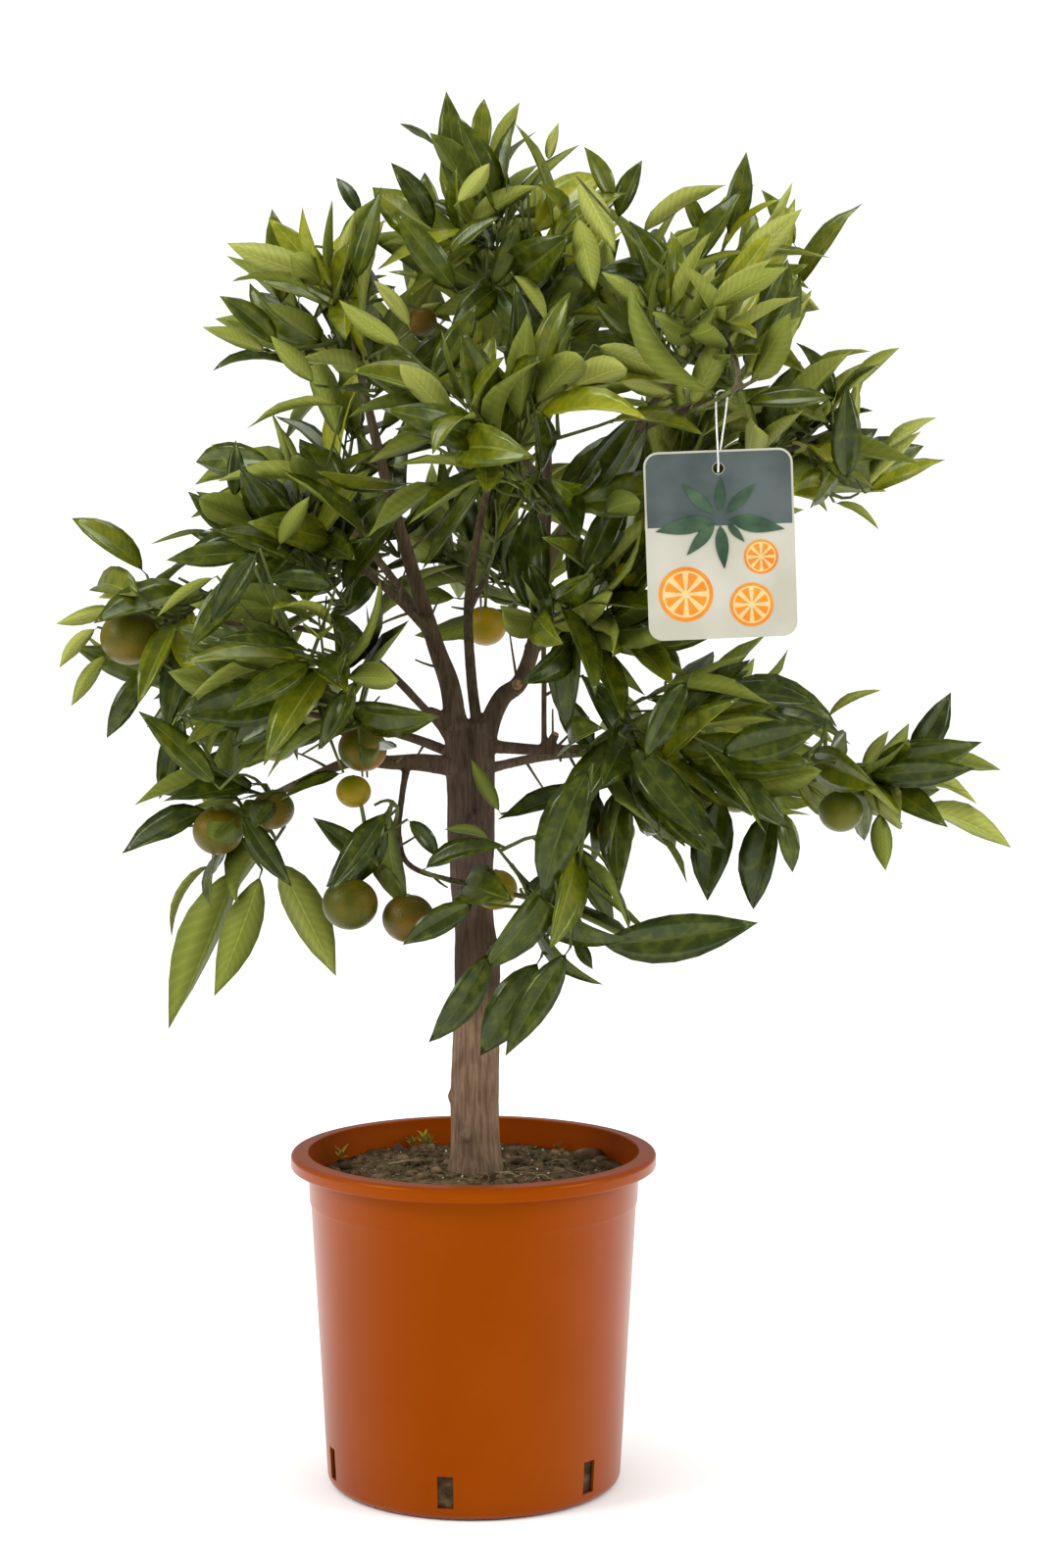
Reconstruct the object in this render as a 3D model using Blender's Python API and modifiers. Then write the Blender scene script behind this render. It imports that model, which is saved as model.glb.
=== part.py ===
"""A potted kucle citrus tree: a short forked trunk, a bushy crown with fruit, and its orange nursery pot.

Metres, +Z up. The origin is the middle of the pot's flat underside, and the viewer stands on the -Y side.
"""

import math
import random

import bmesh
import bpy
from mathutils import Matrix, Vector
from mathutils.bvhtree import BVHTree

GAP = 0.0003  # left between two pieces that touch
WELD = 0.000002  # caps are welded to their tubes within this
UP = Vector((0, 0, 1))
FRONT = Vector((0, -1, 0))
GOLDEN_ANGLE = math.pi * (3 - math.sqrt(5))
GOLDEN_SHARE = (math.sqrt(5) - 1) / 2

# Pot: a 22 cm nursery pot of thin plastic, with a rolled rim and six slots low in its wall
RIM_RADIUS = 0.110
RIM_INNER_RADIUS = 0.0994
RIM_TOP = 0.202
RIM_HEIGHT = 0.0095
NECK_RADIUS = 0.0993  # the wall just under the rim
FOOT_RADIUS = 0.0889
FOOT_ROUNDING = 0.006
POT_WALL = 0.0018
POT_FLOOR = 0.0028
POT_STEPS = 26
SLOT_COUNT = 6
SLOT_FIRST_ANGLE = math.radians(-100)
SLOT_SIZE = (0.012, 0.0095, 0.0195)  # through the wall, along it, and its height
SLOT_BOTTOM = 0.0075

# Soil: filled to about 15 mm under the rim, a little higher at the trunk
SOIL_EDGE = 0.1855
SOIL_MIDDLE = 0.190
SOIL_MIDDLE_RADIUS = 0.024

# Trunk: stations of x, z and radius, from the flat cut on the soil to where it parts in two stems
TRUNK_FOOT = SOIL_MIDDLE + GAP
TRUNK_STATIONS = (
    (0.0010, TRUNK_FOOT, 0.0168),
    (0.0010, 0.1950, 0.0160),
    (0.0010, 0.2020, 0.0150),
    (0.0009, 0.2150, 0.0146),
    (0.0006, 0.2320, 0.0147),
    (0.0012, 0.2550, 0.0143),
    (0.0019, 0.2850, 0.0138),
    (0.0024, 0.3060, 0.0136),
    (0.0021, 0.3210, 0.0135),
    (0.0006, 0.3380, 0.0121),
    (-0.0006, 0.3560, 0.0124),
    (-0.0010, 0.3760, 0.0132),
    (-0.0010, 0.3950, 0.0118),
    (-0.0010, 0.4060, 0.0070),
)
LEFT_STEM_STATIONS = (
    (-0.0040, 0.3640, 0.0084),
    (-0.0066, 0.3900, 0.0088),
    (-0.0074, 0.4190, 0.0085),
    (-0.0085, 0.4410, 0.0082),
    (-0.0103, 0.4600, 0.0074),
)
RIGHT_STEM_STATIONS = (
    (0.0040, 0.3640, 0.0072),
    (0.0062, 0.3900, 0.0068),
    (0.0066, 0.4190, 0.0064),
    (0.0062, 0.4410, 0.0068),
    (0.0058, 0.4600, 0.0076),
)
TRUNK_SIDES = 10
BOUGH_SIDES = 6

# Boughs: each takes the name of the mass of leaves that it ends in. Radius at the foot and at the tip,
# then the places that its line bends through. A bough follows the one that it parts from.
BOUGHS = {
    "crown_top": (0.0062, 0.0024, (
        (0.0070, 0, 0.4540), (0.0172, 0, 0.4746), (0.0288, 0, 0.4857), (0.0385, 0, 0.5200),
        (0.0430, 0, 0.5860), (0.0427, -0.003, 0.6490), (0.0370, -0.006, 0.7000),
    )),
    "upper_left": (0.0070, 0.0026, (
        (-0.0101, 0, 0.4560), (-0.0137, 0, 0.4816), (-0.0218, -0.002, 0.5050), (-0.0340, -0.006, 0.5450),
        (-0.0500, -0.009, 0.6000), (-0.0620, -0.010, 0.6500),
    )),
    "back_top": (0.0036, 0.0022, (
        (0.0030, 0.002, 0.4540), (-0.0010, 0.008, 0.4850), (-0.0030, 0.025, 0.5300),
        (0.0040, 0.050, 0.5800), (0.0180, 0.080, 0.6350),
    )),
    "upper_right": (0.0034, 0.0024, (
        (0.0400, 0, 0.5450), (0.0620, 0, 0.5900), (0.0920, 0, 0.6300), (0.1120, 0, 0.6550),
    )),
    "right_shoulder": (0.0030, 0.0022, (
        (0.0330, 0, 0.5030), (0.0700, -0.004, 0.5400), (0.1150, -0.012, 0.5750), (0.1500, -0.018, 0.6000),
    )),
    "centre_front": (0.0026, 0.0020, (
        (0.0430, -0.002, 0.6000), (0.0380, -0.035, 0.6070), (0.0280, -0.078, 0.6180),
    )),
    "left_shoulder": (0.0028, 0.0020, (
        (-0.0240, -0.003, 0.5120), (-0.0450, -0.020, 0.5350), (-0.0680, -0.040, 0.5570),
    )),
    "far_left": (0.0028, 0.0018, (
        (-0.0140, 0, 0.4510), (-0.0269, -0.010, 0.4672), (-0.0622, -0.020, 0.5020),
        (-0.1041, -0.030, 0.5181), (-0.1700, -0.031, 0.5210),
    )),
    "lower_left": (0.0062, 0.0025, (
        (-0.0070, 0, 0.4330), (-0.0304, -0.010, 0.4369), (-0.0475, -0.020, 0.4378),
        (-0.0720, -0.032, 0.4390), (-0.1050, -0.043, 0.4260),
    )),
    "left_front": (0.0024, 0.0018, (
        (-0.0620, -0.028, 0.4400), (-0.0720, -0.052, 0.4550), (-0.0820, -0.074, 0.4700),
    )),
    "hanging": (0.0022, 0.0016, (
        (-0.0388, -0.015, 0.4360), (-0.0415, -0.028, 0.4180), (-0.0427, -0.043, 0.3960),
        (-0.0340, -0.052, 0.3790), (0.0020, -0.062, 0.3700),
    )),
    "inner_left": (0.0018, 0.0016, (
        (-0.0427, -0.043, 0.3950), (-0.0460, -0.056, 0.3900), (-0.0490, -0.067, 0.3840),
    )),
    "far_right": (0.0038, 0.0020, (
        (0.0070, 0, 0.4460), (0.0364, -0.010, 0.4445), (0.0601, -0.020, 0.4448), (0.0907, -0.034, 0.4413),
        (0.1400, -0.040, 0.4370), (0.1930, -0.035, 0.4350),
    )),
    "right_front": (0.0018, 0.0016, (
        (0.0422, -0.012, 0.4440), (0.0421, -0.015, 0.4803), (0.0432, -0.030, 0.5181),
        (0.0560, -0.060, 0.5300),
    )),
    "right_low": (0.0020, 0.0018, (
        (0.0850, -0.031, 0.4420), (0.0940, -0.050, 0.4400), (0.1020, -0.060, 0.4380),
    )),
    "front_right": (0.0025, 0.0019, (
        (0.0920, 0, 0.6300), (0.1080, -0.050, 0.6380), (0.1260, -0.105, 0.6450),
        (0.1380, -0.150, 0.6500), (0.1430, -0.168, 0.6530),
    )),
    "back_left": (0.0032, 0.0022, (
        (-0.0220, -0.002, 0.5050), (-0.0420, 0.032, 0.5350), (-0.0800, 0.082, 0.5800),
    )),
    "back_right": (0.0032, 0.0022, (
        (0.0330, 0, 0.5000), (0.0660, 0.035, 0.5300), (0.1200, 0.085, 0.5680),
    )),
    "back_low_left": (0.0034, 0.0022, (
        (-0.0090, 0.003, 0.4400), (-0.0450, 0.035, 0.4500), (-0.1050, 0.074, 0.4600),
    )),
    "back_low_right": (0.0032, 0.0022, (
        (0.0070, 0.002, 0.4320), (0.0500, 0.038, 0.4370), (0.1220, 0.084, 0.4370),
    )),
    "back_middle": (0.0024, 0.0018, (
        (-0.0030, 0.022, 0.5250), (0.0020, 0.060, 0.5350), (0.0060, 0.086, 0.5420),
    )),
}

# Masses of leaves: centre, reach along x, y and z, how many leaves, seed, then the leaves that stand out
# most, as tip x and z, foot x and z and depth in millimetres and how far the upper side turns to the
# front, and the fruit with its radius
MASSES = {
    "crown_top": ((0.013, -0.005, 0.737), (0.081, 0.085, 0.081), 26, 11, (
        (-15, 828, -6, 764, -20, 1), (6, 829, 6, 790, 10, 0.3), (26, 825, 13, 780, -10, -0.8),
        (51, 814, 44, 791, 20, -0.6), (-45, 788, -22, 746, -40, 0.8), (66, 796, 82, 763, -30, 0.7),
        (-44, 757, -7, 710, -70, 0.9), (-42, 812, -21, 798, 0, 0.2), (13, 783, -9, 759, -80, -0.8),
        (38, 773, -3, 749, -45, -0.7), (16, 754, -14, 732, -60, 0.8), (28, 753, 12, 713, -50, 0.7),
        (70, 709, 60, 754, -90, -0.95), (44, 693, 23, 722, -65, -0.6),
    ), ()),
    "upper_left": ((-0.074, -0.005, 0.702), (0.072, 0.082, 0.067), 24, 9, (
        (-141, 739, -86, 719, -40, -0.8), (-145, 712, -112, 680, -30, 0.9),
        (-158, 693, -119, 678, -10, -0.6), (-156, 673, -106, 670, 10, 0.2), (-81, 783, -65, 758, 20, 0.8),
        (-50, 771, -68, 716, -50, 0.5), (-138, 721, -90, 710, -60, -0.3), (-103, 743, -76, 735, 20, 0.1),
        (-68, 757, -80, 712, -30, -0.8), (-54, 718, -34, 689, -75, -0.8), (-114, 686, -89, 658, -65, -0.8),
    ), (((-0.029, -0.030, 0.695), 0.009),)),
    "upper_right": ((0.129, 0, 0.703), (0.089, 0.088, 0.088), 26, 7, (
        (99, 791, 85, 755, 0, 0.4), (161, 794, 149, 743, -10, 0.9), (229, 770, 190, 714, 0, 0.4),
        (147, 776, 97, 744, -30, -0.3), (172, 776, 192, 741, 30, 0.8), (189, 759, 149, 719, -50, -0.7),
        (198, 711, 167, 688, -30, -0.7), (125, 776, 136, 742, 10, 0.6), (68, 706, 106, 679, -55, 0.8),
        (157, 736, 109, 712, -60, 0.2), (130, 748, 106, 719, -65, -0.8), (178, 747, 178, 710, -55, -0.95),
        (201, 728, 176, 670, -20, -0.7),
    ), ()),
    "right_shoulder": ((0.204, -0.015, 0.629), (0.072, 0.075, 0.058), 19, 3, (
        (248, 683, 221, 654, -20, -0.6), (235, 682, 191, 664, 10, -0.3), (189, 685, 209, 646, -40, 0.7),
        (270, 641, 239, 621, -30, -0.6), (279, 618, 230, 596, -20, 0.4), (238, 576, 211, 591, -30, -0.3),
        (210, 658, 214, 602, -95, 0.9),
    ), ()),
    "centre_front": ((0.028, -0.120, 0.622), (0.104, 0.075, 0.086), 27, 4, (
        (-72, 702, -35, 676, -140, -0.9), (5, 702, -23, 658, -100, 0.7), (-37, 654, -1, 634, -115, 0.7),
        (113, 662, 69, 679, -117, -0.8), (82, 659, 114, 651, -132, -1), (109, 639, 63, 651, -130, -0.7),
    ), ()),
    "left_shoulder": ((-0.100, -0.060, 0.573), (0.068, 0.075, 0.069), 24, 13, (
        (-132, 637, -74, 646, -56, -0.3), (-182, 568, -148, 576, -82, 0.2),
        (-162, 597, -130, 570, -70, 0.7), (-135, 627, -137, 592, -50, 0.6),
        (-114, 638, -103, 606, -20, -0.7), (-169, 561, -120, 563, -120, 0.8),
        (-89, 596, -107, 566, -125, -0.8), (-106, 611, -56, 571, -110, 0.4),
    ), ()),
    "far_left": ((-0.186, -0.030, 0.513), (0.048, 0.062, 0.056), 13, 13, (
        (-234, 585, -190, 549, -30, 0.4), (-242, 520, -206, 530, -40, -0.7),
        (-240, 496, -217, 519, -50, -0.75), (-212, 454, -187, 497, -60, 0.8),
        (-221, 534, -186, 542, -10, -0.6), (-195, 516, -152, 540, -25, -0.7),
        (-233, 473, -211, 504, -45, -0.4),
    ), (((-0.198, -0.050, 0.513), 0.017),)),
    "left_front": ((-0.091, -0.110, 0.495), (0.083, 0.070, 0.061), 24, 2, (
        (-143, 526, -115, 567, -150, 0.95), (-175, 529, -141, 551, -120, -0.5),
        (-184, 477, -140, 432, -127, 0.9), (-134, 456, -75, 501, -125, 0.9),
        (-152, 472, -107, 458, -100, 0.7), (-83, 457, -67, 489, -140, 0.9),
        (-156, 512, -119, 557, -140, 0.9), (-85, 453, -64, 494, -115, 0.9),
        (-113, 551, -74, 545, -135, 0.9), (-129, 529, -89, 503, -125, 0.8),
        (-152, 472, -152, 506, -85, 0.8), (-107, 426, -71, 441, -124, 0.5),
    ), (((-0.062, -0.080, 0.451), 0.014),)),
    "lower_left": ((-0.137, -0.050, 0.409), (0.060, 0.068, 0.054), 12, 11, (
        (-203, 389, -151, 415, -60, 0.5), (-183, 336, -152, 380, -30, -0.1),
        (-176, 283, -136, 384, -50, -0.45), (-148, 306, -121, 380, -70, -0.7),
        (-81, 310, -115, 382, -20, -0.95), (-103, 372, -132, 415, -87, 0.9),
        (-181, 419, -167, 470, -52, 0.6),
    ), (((-0.146, -0.070, 0.4026), 0.0146), ((-0.116, -0.045, 0.4125), 0.0125),)),
    "inner_left": ((-0.058, -0.088, 0.397), (0.043, 0.052, 0.048), 10, 14, (
        (-90, 413, -53, 386, -100, 0.7), (-101, 378, -57, 400, -84, 0.6), (-17, 390, -36, 412, -95, 0.8),
    ), (
        ((-0.069, -0.090, 0.363), 0.016), ((-0.036, -0.085, 0.354), 0.015),
        ((-0.067, -0.085, 0.427), 0.010),
    )),
    "hanging": ((0.052, -0.125, 0.367), (0.078, 0.064, 0.047), 12, 13, (
        (161, 357, 68, 347, -140, 1), (-22, 287, 11, 343, -130, 0.9), (5, 278, 40, 335, -110, 0.9),
        (19, 286, 56, 346, -150, 1), (69, 328, 58, 347, -110, 0.4), (-39, 347, 4, 369, -136, 0.9),
        (20, 404, -27, 386, -134, 0.6), (70, 378, 28, 370, -75, 0.5), (-15, 410, 12, 402, -117, -0.3),
        (37, 374, 68, 449, -154, 0.95),
    ), (((0.014, -0.070, 0.3686), 0.0126),)),
    "right_front": ((0.076, -0.095, 0.534), (0.070, 0.055, 0.075), 20, 10, (
        (33, 560, 46, 523, -100, 0.9),
    ), (((0.088, -0.110, 0.552), 0.007),)),
    "right_low": ((0.110, -0.075, 0.444), (0.089, 0.072, 0.075), 26, 13, (
        (88, 356, 85, 407, -58, 1), (135, 362, 144, 426, -70, 0.8), (161, 354, 173, 419, -74, 0.7),
        (197, 467, 138, 450, -120, 0.9), (135, 415, 100, 439, -118, 0.7), (125, 373, 108, 401, -80, -0.2),
        (185, 380, 175, 418, -94, 0.7), (96, 448, 123, 494, -120, 0.9), (171, 479, 110, 491, -110, -0.5),
        (14, 408, 68, 427, -63, 0.6), (49, 483, 72, 446, -45, 0.6), (64, 493, 98, 440, -27, 0.7),
        (-1, 443, 17, 411, -55, -0.7),
    ), (((0.0836, -0.060, 0.4015), 0.011),)),
    "far_right": ((0.234, -0.030, 0.433), (0.073, 0.068, 0.043), 16, 13, (
        (281, 481, 256, 437, -30, 0.8), (312, 434, 265, 439, -20, -0.4), (317, 392, 258, 413, -40, -0.5),
        (241, 377, 237, 412, -50, -0.9), (245, 457, 229, 432, -20, -0.8), (240, 482, 208, 464, -20, -0.4),
        (297, 416, 255, 431, -35, -0.5),
    ), (((0.215, -0.045, 0.4114), 0.013),)),
    "front_right": ((0.137, -0.135, 0.688), (0.056, 0.070, 0.056), 18, 14, (
        (81, 729, 59, 770, -130, -0.9), (73, 719, 100, 698, -115, -0.8), (134, 725, 118, 666, -120, -0.6),
        (150, 699, 121, 642, -135, -0.7), (204, 651, 150, 646, -115, 0.5),
    ), ()),
    "back_top": ((0.038, 0.105, 0.692), (0.110, 0.090, 0.096), 26, 10, (), ()),
    "back_left": ((-0.082, 0.110, 0.605), (0.089, 0.092, 0.088), 23, 2, (), (
        ((-0.130, 0.130, 0.580), 0.014),
    )),
    "back_right": ((0.135, 0.110, 0.601), (0.084, 0.092, 0.088), 24, 12, (), (
        ((0.170, 0.140, 0.560), 0.014),
    )),
    "back_low_left": ((-0.129, 0.092, 0.476), (0.078, 0.088, 0.059), 20, 10, (), (
        ((-0.125, 0.110, 0.440), 0.014),
    )),
    "back_low_right": ((0.156, 0.105, 0.441), (0.086, 0.088, 0.070), 21, 14, (), (
        ((0.165, 0.125, 0.405), 0.013),
    )),
    "back_middle": ((0.008, 0.125, 0.562), (0.093, 0.080, 0.079), 20, 14, (), (
        ((0.006, 0.110, 0.512), 0.0134),
    )),
}
# Gaps where the sky shows through, seen from the front: x, z, half width and half height in millimetres
SKY = (
    (209, 487, 28, 12), (-119, 659, 23, 12), (104, 769, 13, 16), (246, 647, 11, 18), (-127, 627, 12, 12),
    (111, 367, 17, 17), (248, 463, 17, 14), (-176, 380, 15, 16), (-102, 400, 12, 17), (-84, 633, 12, 8),
    (30, 465, 11, 13), (-31, 483, 10, 13), (-224, 475, 10, 14), (-52, 420, 8, 10), (-27, 419, 10, 8),
    (19, 432, 7, 11), (158, 369, 9, 30), (185, 511, 12, 9), (202, 688, 9, 11), (54, 630, 8, 8),
)
EYE = Vector((0.030, -1.993, 0.615))  # where these are seen from
MILLIMETRE = 0.001

# Leaves and twigs
LEAF_LENGTH = 0.085
LEAF_LENGTHS = (0.80, 1.10)  # of that length
LEAF_WIDTH = 0.43  # of the length, so that these four-sided blades cover as much as real ones
LEAF_THICKNESS = 0.040  # of the length, from its edges up to its rib
LEAF_WIDEST = 0.45  # of the length, from the root
ROOT_SUNK = 0.35  # of the twig's radius, past its middle line
LEAF_TRIES = 9
STEM_START = 0.0015  # straight on from the bough, before the stem bends
STEM_END_RADIUS = 0.0016
SHOOT_RADII = (0.0017, 0.0013)
SHOOT_REACH = (0.15, 0.62)  # of the way from the mass's centre to its edge
SHORTEST_SHOOT = 0.010
FORK_SHARES = (0.35, 0.65, 0.90)  # along a twig, where others may start
REACH_MORE = 1.08  # how far out of its reach a leaf may stand
CROWN_MIDDLE = Vector((0.03, 0, 0.52))
DEPTH_LEAN = 0.45  # of what shoots lean sideways, they lean to the front or back
LIFT = 0.35  # how strongly shoots rise
OUTWARD = 0.45  # how strongly leaves turn the way in which shoots lean
STALK_RISE = 0.3  # of a fruit stalk's length
LEAF_SHARES = (0.30, 0.50, 0.70, 0.92)  # along a shoot
OUTER_SHARES = (0.60,)  # along a shoot that ends in one of the leaves that stand out
OUTER_LENGTHS = (1, 0.9, 0.8, 0.7)  # as long as such a leaf should be, or else so much shorter
LEAF_SPREAD = (45, 82)  # degrees from the shoot
SHOOT_TRIES = 60
FRUIT_SUNK = 0.72  # where a stalk ends, of the fruit's radius above its middle
FRUIT_SEGMENTS = 8
FRUIT_RINGS = 4

# Label: a card on a thread that loops round the front right bough
CARD_SIZE = (0.082, 0.103)
CARD_THICKNESS = 0.0008
CARD_CORNER = 0.008
CARD_CORNER_STEPS = 5
CARD_HOLE = Vector((0.1363, -0.1500, 0.6108))
CARD_HOLE_RADIUS = 0.003
CARD_HOLE_DROP = 0.010  # the hole's middle, below the card's top edge
CARD_LEAN = math.radians(2.2)
CARD_TURN = math.radians(3)
THREAD_TOP = Vector((0.1380, -0.1500, 0.6500))  # on the bough's middle line
THREAD_RADIUS = 0.0005
THREAD_HALF_WIDTHS = (0.0019, 0.0031)  # of the loop, at the card and at the bough
THREAD_ARC_STEPS = 6
THREAD_RUN_STEPS = 4

GREEN = (0.075, 0.095, 0.008, 1)
BARK = (0.130, 0.085, 0.055, 1)
ORANGE_PLASTIC = (0.300, 0.052, 0.002, 1)
SOIL_BROWN = (0.078, 0.049, 0.024, 1)
CARD_GREY = (0.400, 0.385, 0.305, 1)
THREAD_WHITE = (0.800, 0.800, 0.780, 1)


def material(name, colour, roughness):
    made = bpy.data.materials.new(name)
    made.use_nodes = True
    shader = made.node_tree.nodes["Principled BSDF"]
    shader.inputs["Base Color"].default_value = colour
    shader.inputs["Roughness"].default_value = roughness
    shader.inputs["Metallic"].default_value = 0
    made.diffuse_color = colour
    return made


def collection(name):
    made = bpy.data.collections.new(name)
    bpy.context.scene.collection.children.link(made)
    return made


def place(name, data, home):
    made = bpy.data.objects.new(name, data)
    home.objects.link(made)
    return made


def evaluated_mesh(source):
    """The mesh that an object shows, with its modifiers applied."""
    depsgraph = bpy.context.evaluated_depsgraph_get()
    return bpy.data.meshes.new_from_object(source.evaluated_get(depsgraph), depsgraph=depsgraph)


def apply_modifiers(target):
    mesh = evaluated_mesh(target)
    target.modifiers.clear()
    target.data = mesh


def close_mesh(mesh):
    """Welds caps to their tubes and turns the faces outwards."""
    shape = bmesh.new()
    shape.from_mesh(mesh)
    bmesh.ops.remove_doubles(shape, verts=shape.verts, dist=WELD)
    bmesh.ops.recalc_face_normals(shape, faces=shape.faces)
    shape.to_mesh(mesh)
    shape.free()


def islands(shape):
    """The faces of each separate closed surface."""
    waiting = set(shape.faces)
    while waiting:
        found = [waiting.pop()]
        for face in found:
            for edge in face.edges:
                near = [other for other in edge.link_faces if other in waiting]
                waiting.difference_update(near)
                found.extend(near)
        yield found


def enclosed_volume(faces):
    total = 0
    for face in faces:
        first, *others = (vertex.co for vertex in face.verts)
        total += sum(first.dot(a.cross(b)) for a, b in zip(others, others[1:])) / 6
    return total


def keep_main_body(mesh):
    """Keeps the largest body. Loose scraps are dropped, and hollows sealed inside it are filled."""
    shape = bmesh.new()
    shape.from_mesh(mesh)
    bodies = sorted(islands(shape), key=enclosed_volume)
    spare = [face for body in bodies[:-1] for face in body]
    bmesh.ops.delete(shape, geom=spare, context="FACES")
    shape.to_mesh(mesh)
    shape.free()


def unite(base, pieces, solver="EXACT"):
    """Joins the objects of a collection to a base object, and removes them."""
    joined = base.modifiers.new("joined", "BOOLEAN")
    joined.operation = "UNION"
    joined.operand_type = "COLLECTION"
    joined.collection = pieces
    joined.solver = solver
    apply_modifiers(base)
    keep_main_body(base.data)
    for piece in list(pieces.objects):
        bpy.data.objects.remove(piece)
    bpy.data.collections.remove(pieces)


def smooth_route(points, steps):
    """Points along one smooth curve through the given ones, with this many steps between each two."""
    points = [Vector(point) for point in points]
    guide = [2 * points[0] - points[1], *points, 2 * points[-1] - points[-2]]
    route = []
    for before, start, end, after in zip(guide, guide[1:], guide[2:], guide[3:]):
        for step in range(steps):
            t = step / steps
            route.append(0.5 * (
                2 * start
                + (end - before) * t
                + (2 * before - 5 * start + 4 * end - after) * t * t
                + (3 * start - before - 3 * end + after) * t * t * t
            ))
    return route + [points[-1]]


def tube(name, route, radii, sides, home):
    """A tube with closed ends along a route, with its own radius at each point of it."""
    curve = bpy.data.curves.new(name, "CURVE")
    curve.dimensions = "3D"
    curve.use_fill_caps = True
    curve.twist_mode = "MINIMUM"
    if sides == 3:
        curve.bevel_mode = "OBJECT"
        curve.bevel_object = twig_section
    else:
        curve.bevel_depth = 1
        curve.bevel_resolution = (sides - 4) // 2
    spline = curve.splines.new("POLY")
    spline.points.add(len(route) - 1)
    for point, spot, radius in zip(spline.points, route, radii):
        point.co = (*spot, 1)
        point.radius = radius
    drawn = place(name, curve, home)
    mesh = evaluated_mesh(drawn)
    close_mesh(mesh)
    bpy.data.objects.remove(drawn)
    bpy.data.curves.remove(curve)
    return place(name, mesh, home)


def three_sided_section():
    """The outline of a twig, a triangle with a corner radius of 1."""
    curve = bpy.data.curves.new("twig_section", "CURVE")
    curve.dimensions = "2D"
    spline = curve.splines.new("POLY")
    spline.points.add(2)
    for corner, point in enumerate(spline.points):
        angle = math.tau * corner / 3
        point.co = (math.cos(angle), math.sin(angle), 0, 1)
    spline.use_cyclic_u = True
    made = place("twig_section", curve, guides)
    made.hide_render = True
    made.display_type = "WIRE"
    return made


def even_radii(first, last, count):
    return [first + (last - first) * step / (count - 1) for step in range(count)]


def longer(route, more):
    """The same route, with both ends carried on by this much."""
    start = route[0] + (route[0] - route[1]).normalized() * more
    end = route[-1] + (route[-1] - route[-2]).normalized() * more
    return [start, *route[1:-1], end]


def make_pot():
    """The turned shell with its rolled rim, then the slots cut through its wall."""
    rim_bottom = RIM_TOP - RIM_HEIGHT
    rim_round = RIM_HEIGHT / 4
    profile = (
        (0, POT_FLOOR),
        (FOOT_RADIUS - FOOT_ROUNDING, POT_FLOOR),
        (FOOT_RADIUS - POT_WALL, FOOT_ROUNDING + POT_WALL),
        (RIM_INNER_RADIUS - POT_WALL, rim_bottom),
        (RIM_INNER_RADIUS, RIM_TOP - rim_round),
        (RIM_INNER_RADIUS + rim_round, RIM_TOP),
        (RIM_RADIUS - rim_round, RIM_TOP),
        (RIM_RADIUS, RIM_TOP - rim_round),
        (RIM_RADIUS, rim_bottom + rim_round),
        (RIM_RADIUS - rim_round, rim_bottom),
        (NECK_RADIUS + rim_round, rim_bottom - rim_round / 2),
        (NECK_RADIUS, rim_bottom - 2 * rim_round),
        (FOOT_RADIUS, FOOT_ROUNDING),
        (FOOT_RADIUS - FOOT_ROUNDING * 0.3, FOOT_ROUNDING * 0.3),
        (FOOT_RADIUS - FOOT_ROUNDING, 0),
        (0, 0),
    )
    mesh = bpy.data.meshes.new("pot")
    mesh.from_pydata([(r, 0, z) for r, z in profile], [(i, i + 1) for i in range(len(profile) - 1)], [])
    pot = place("pot", mesh, tree)
    turned = pot.modifiers.new("turned", "SCREW")
    turned.steps = POT_STEPS
    turned.render_steps = POT_STEPS
    turned.use_merge_vertices = True
    turned.merge_threshold = WELD
    apply_modifiers(pot)
    slots = collection("slots")
    for index in range(SLOT_COUNT):
        angle = SLOT_FIRST_ANGLE + math.tau * index / SLOT_COUNT
        bpy.ops.mesh.primitive_cube_add(size=1)
        slot = bpy.context.object
        slot.matrix_world = (
            Matrix.Rotation(angle, 4, "Z")
            @ Matrix.Translation((FOOT_RADIUS, 0, SLOT_BOTTOM + SLOT_SIZE[2] / 2))
            @ Matrix.Diagonal((*SLOT_SIZE, 1))
        )
        for home in slot.users_collection:
            home.objects.unlink(slot)
        slots.objects.link(slot)
    bpy.context.view_layer.update()
    cut = pot.modifiers.new("slots", "BOOLEAN")
    cut.operation = "DIFFERENCE"
    cut.operand_type = "COLLECTION"
    cut.collection = slots
    apply_modifiers(pot)
    for slot in list(slots.objects):
        bpy.data.objects.remove(slot)
    bpy.data.collections.remove(slots)
    pot.data.materials.append(material("orange_plastic", ORANGE_PLASTIC, 0.42))
    pot.data.set_sharp_from_angle(angle=math.radians(35))


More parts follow.
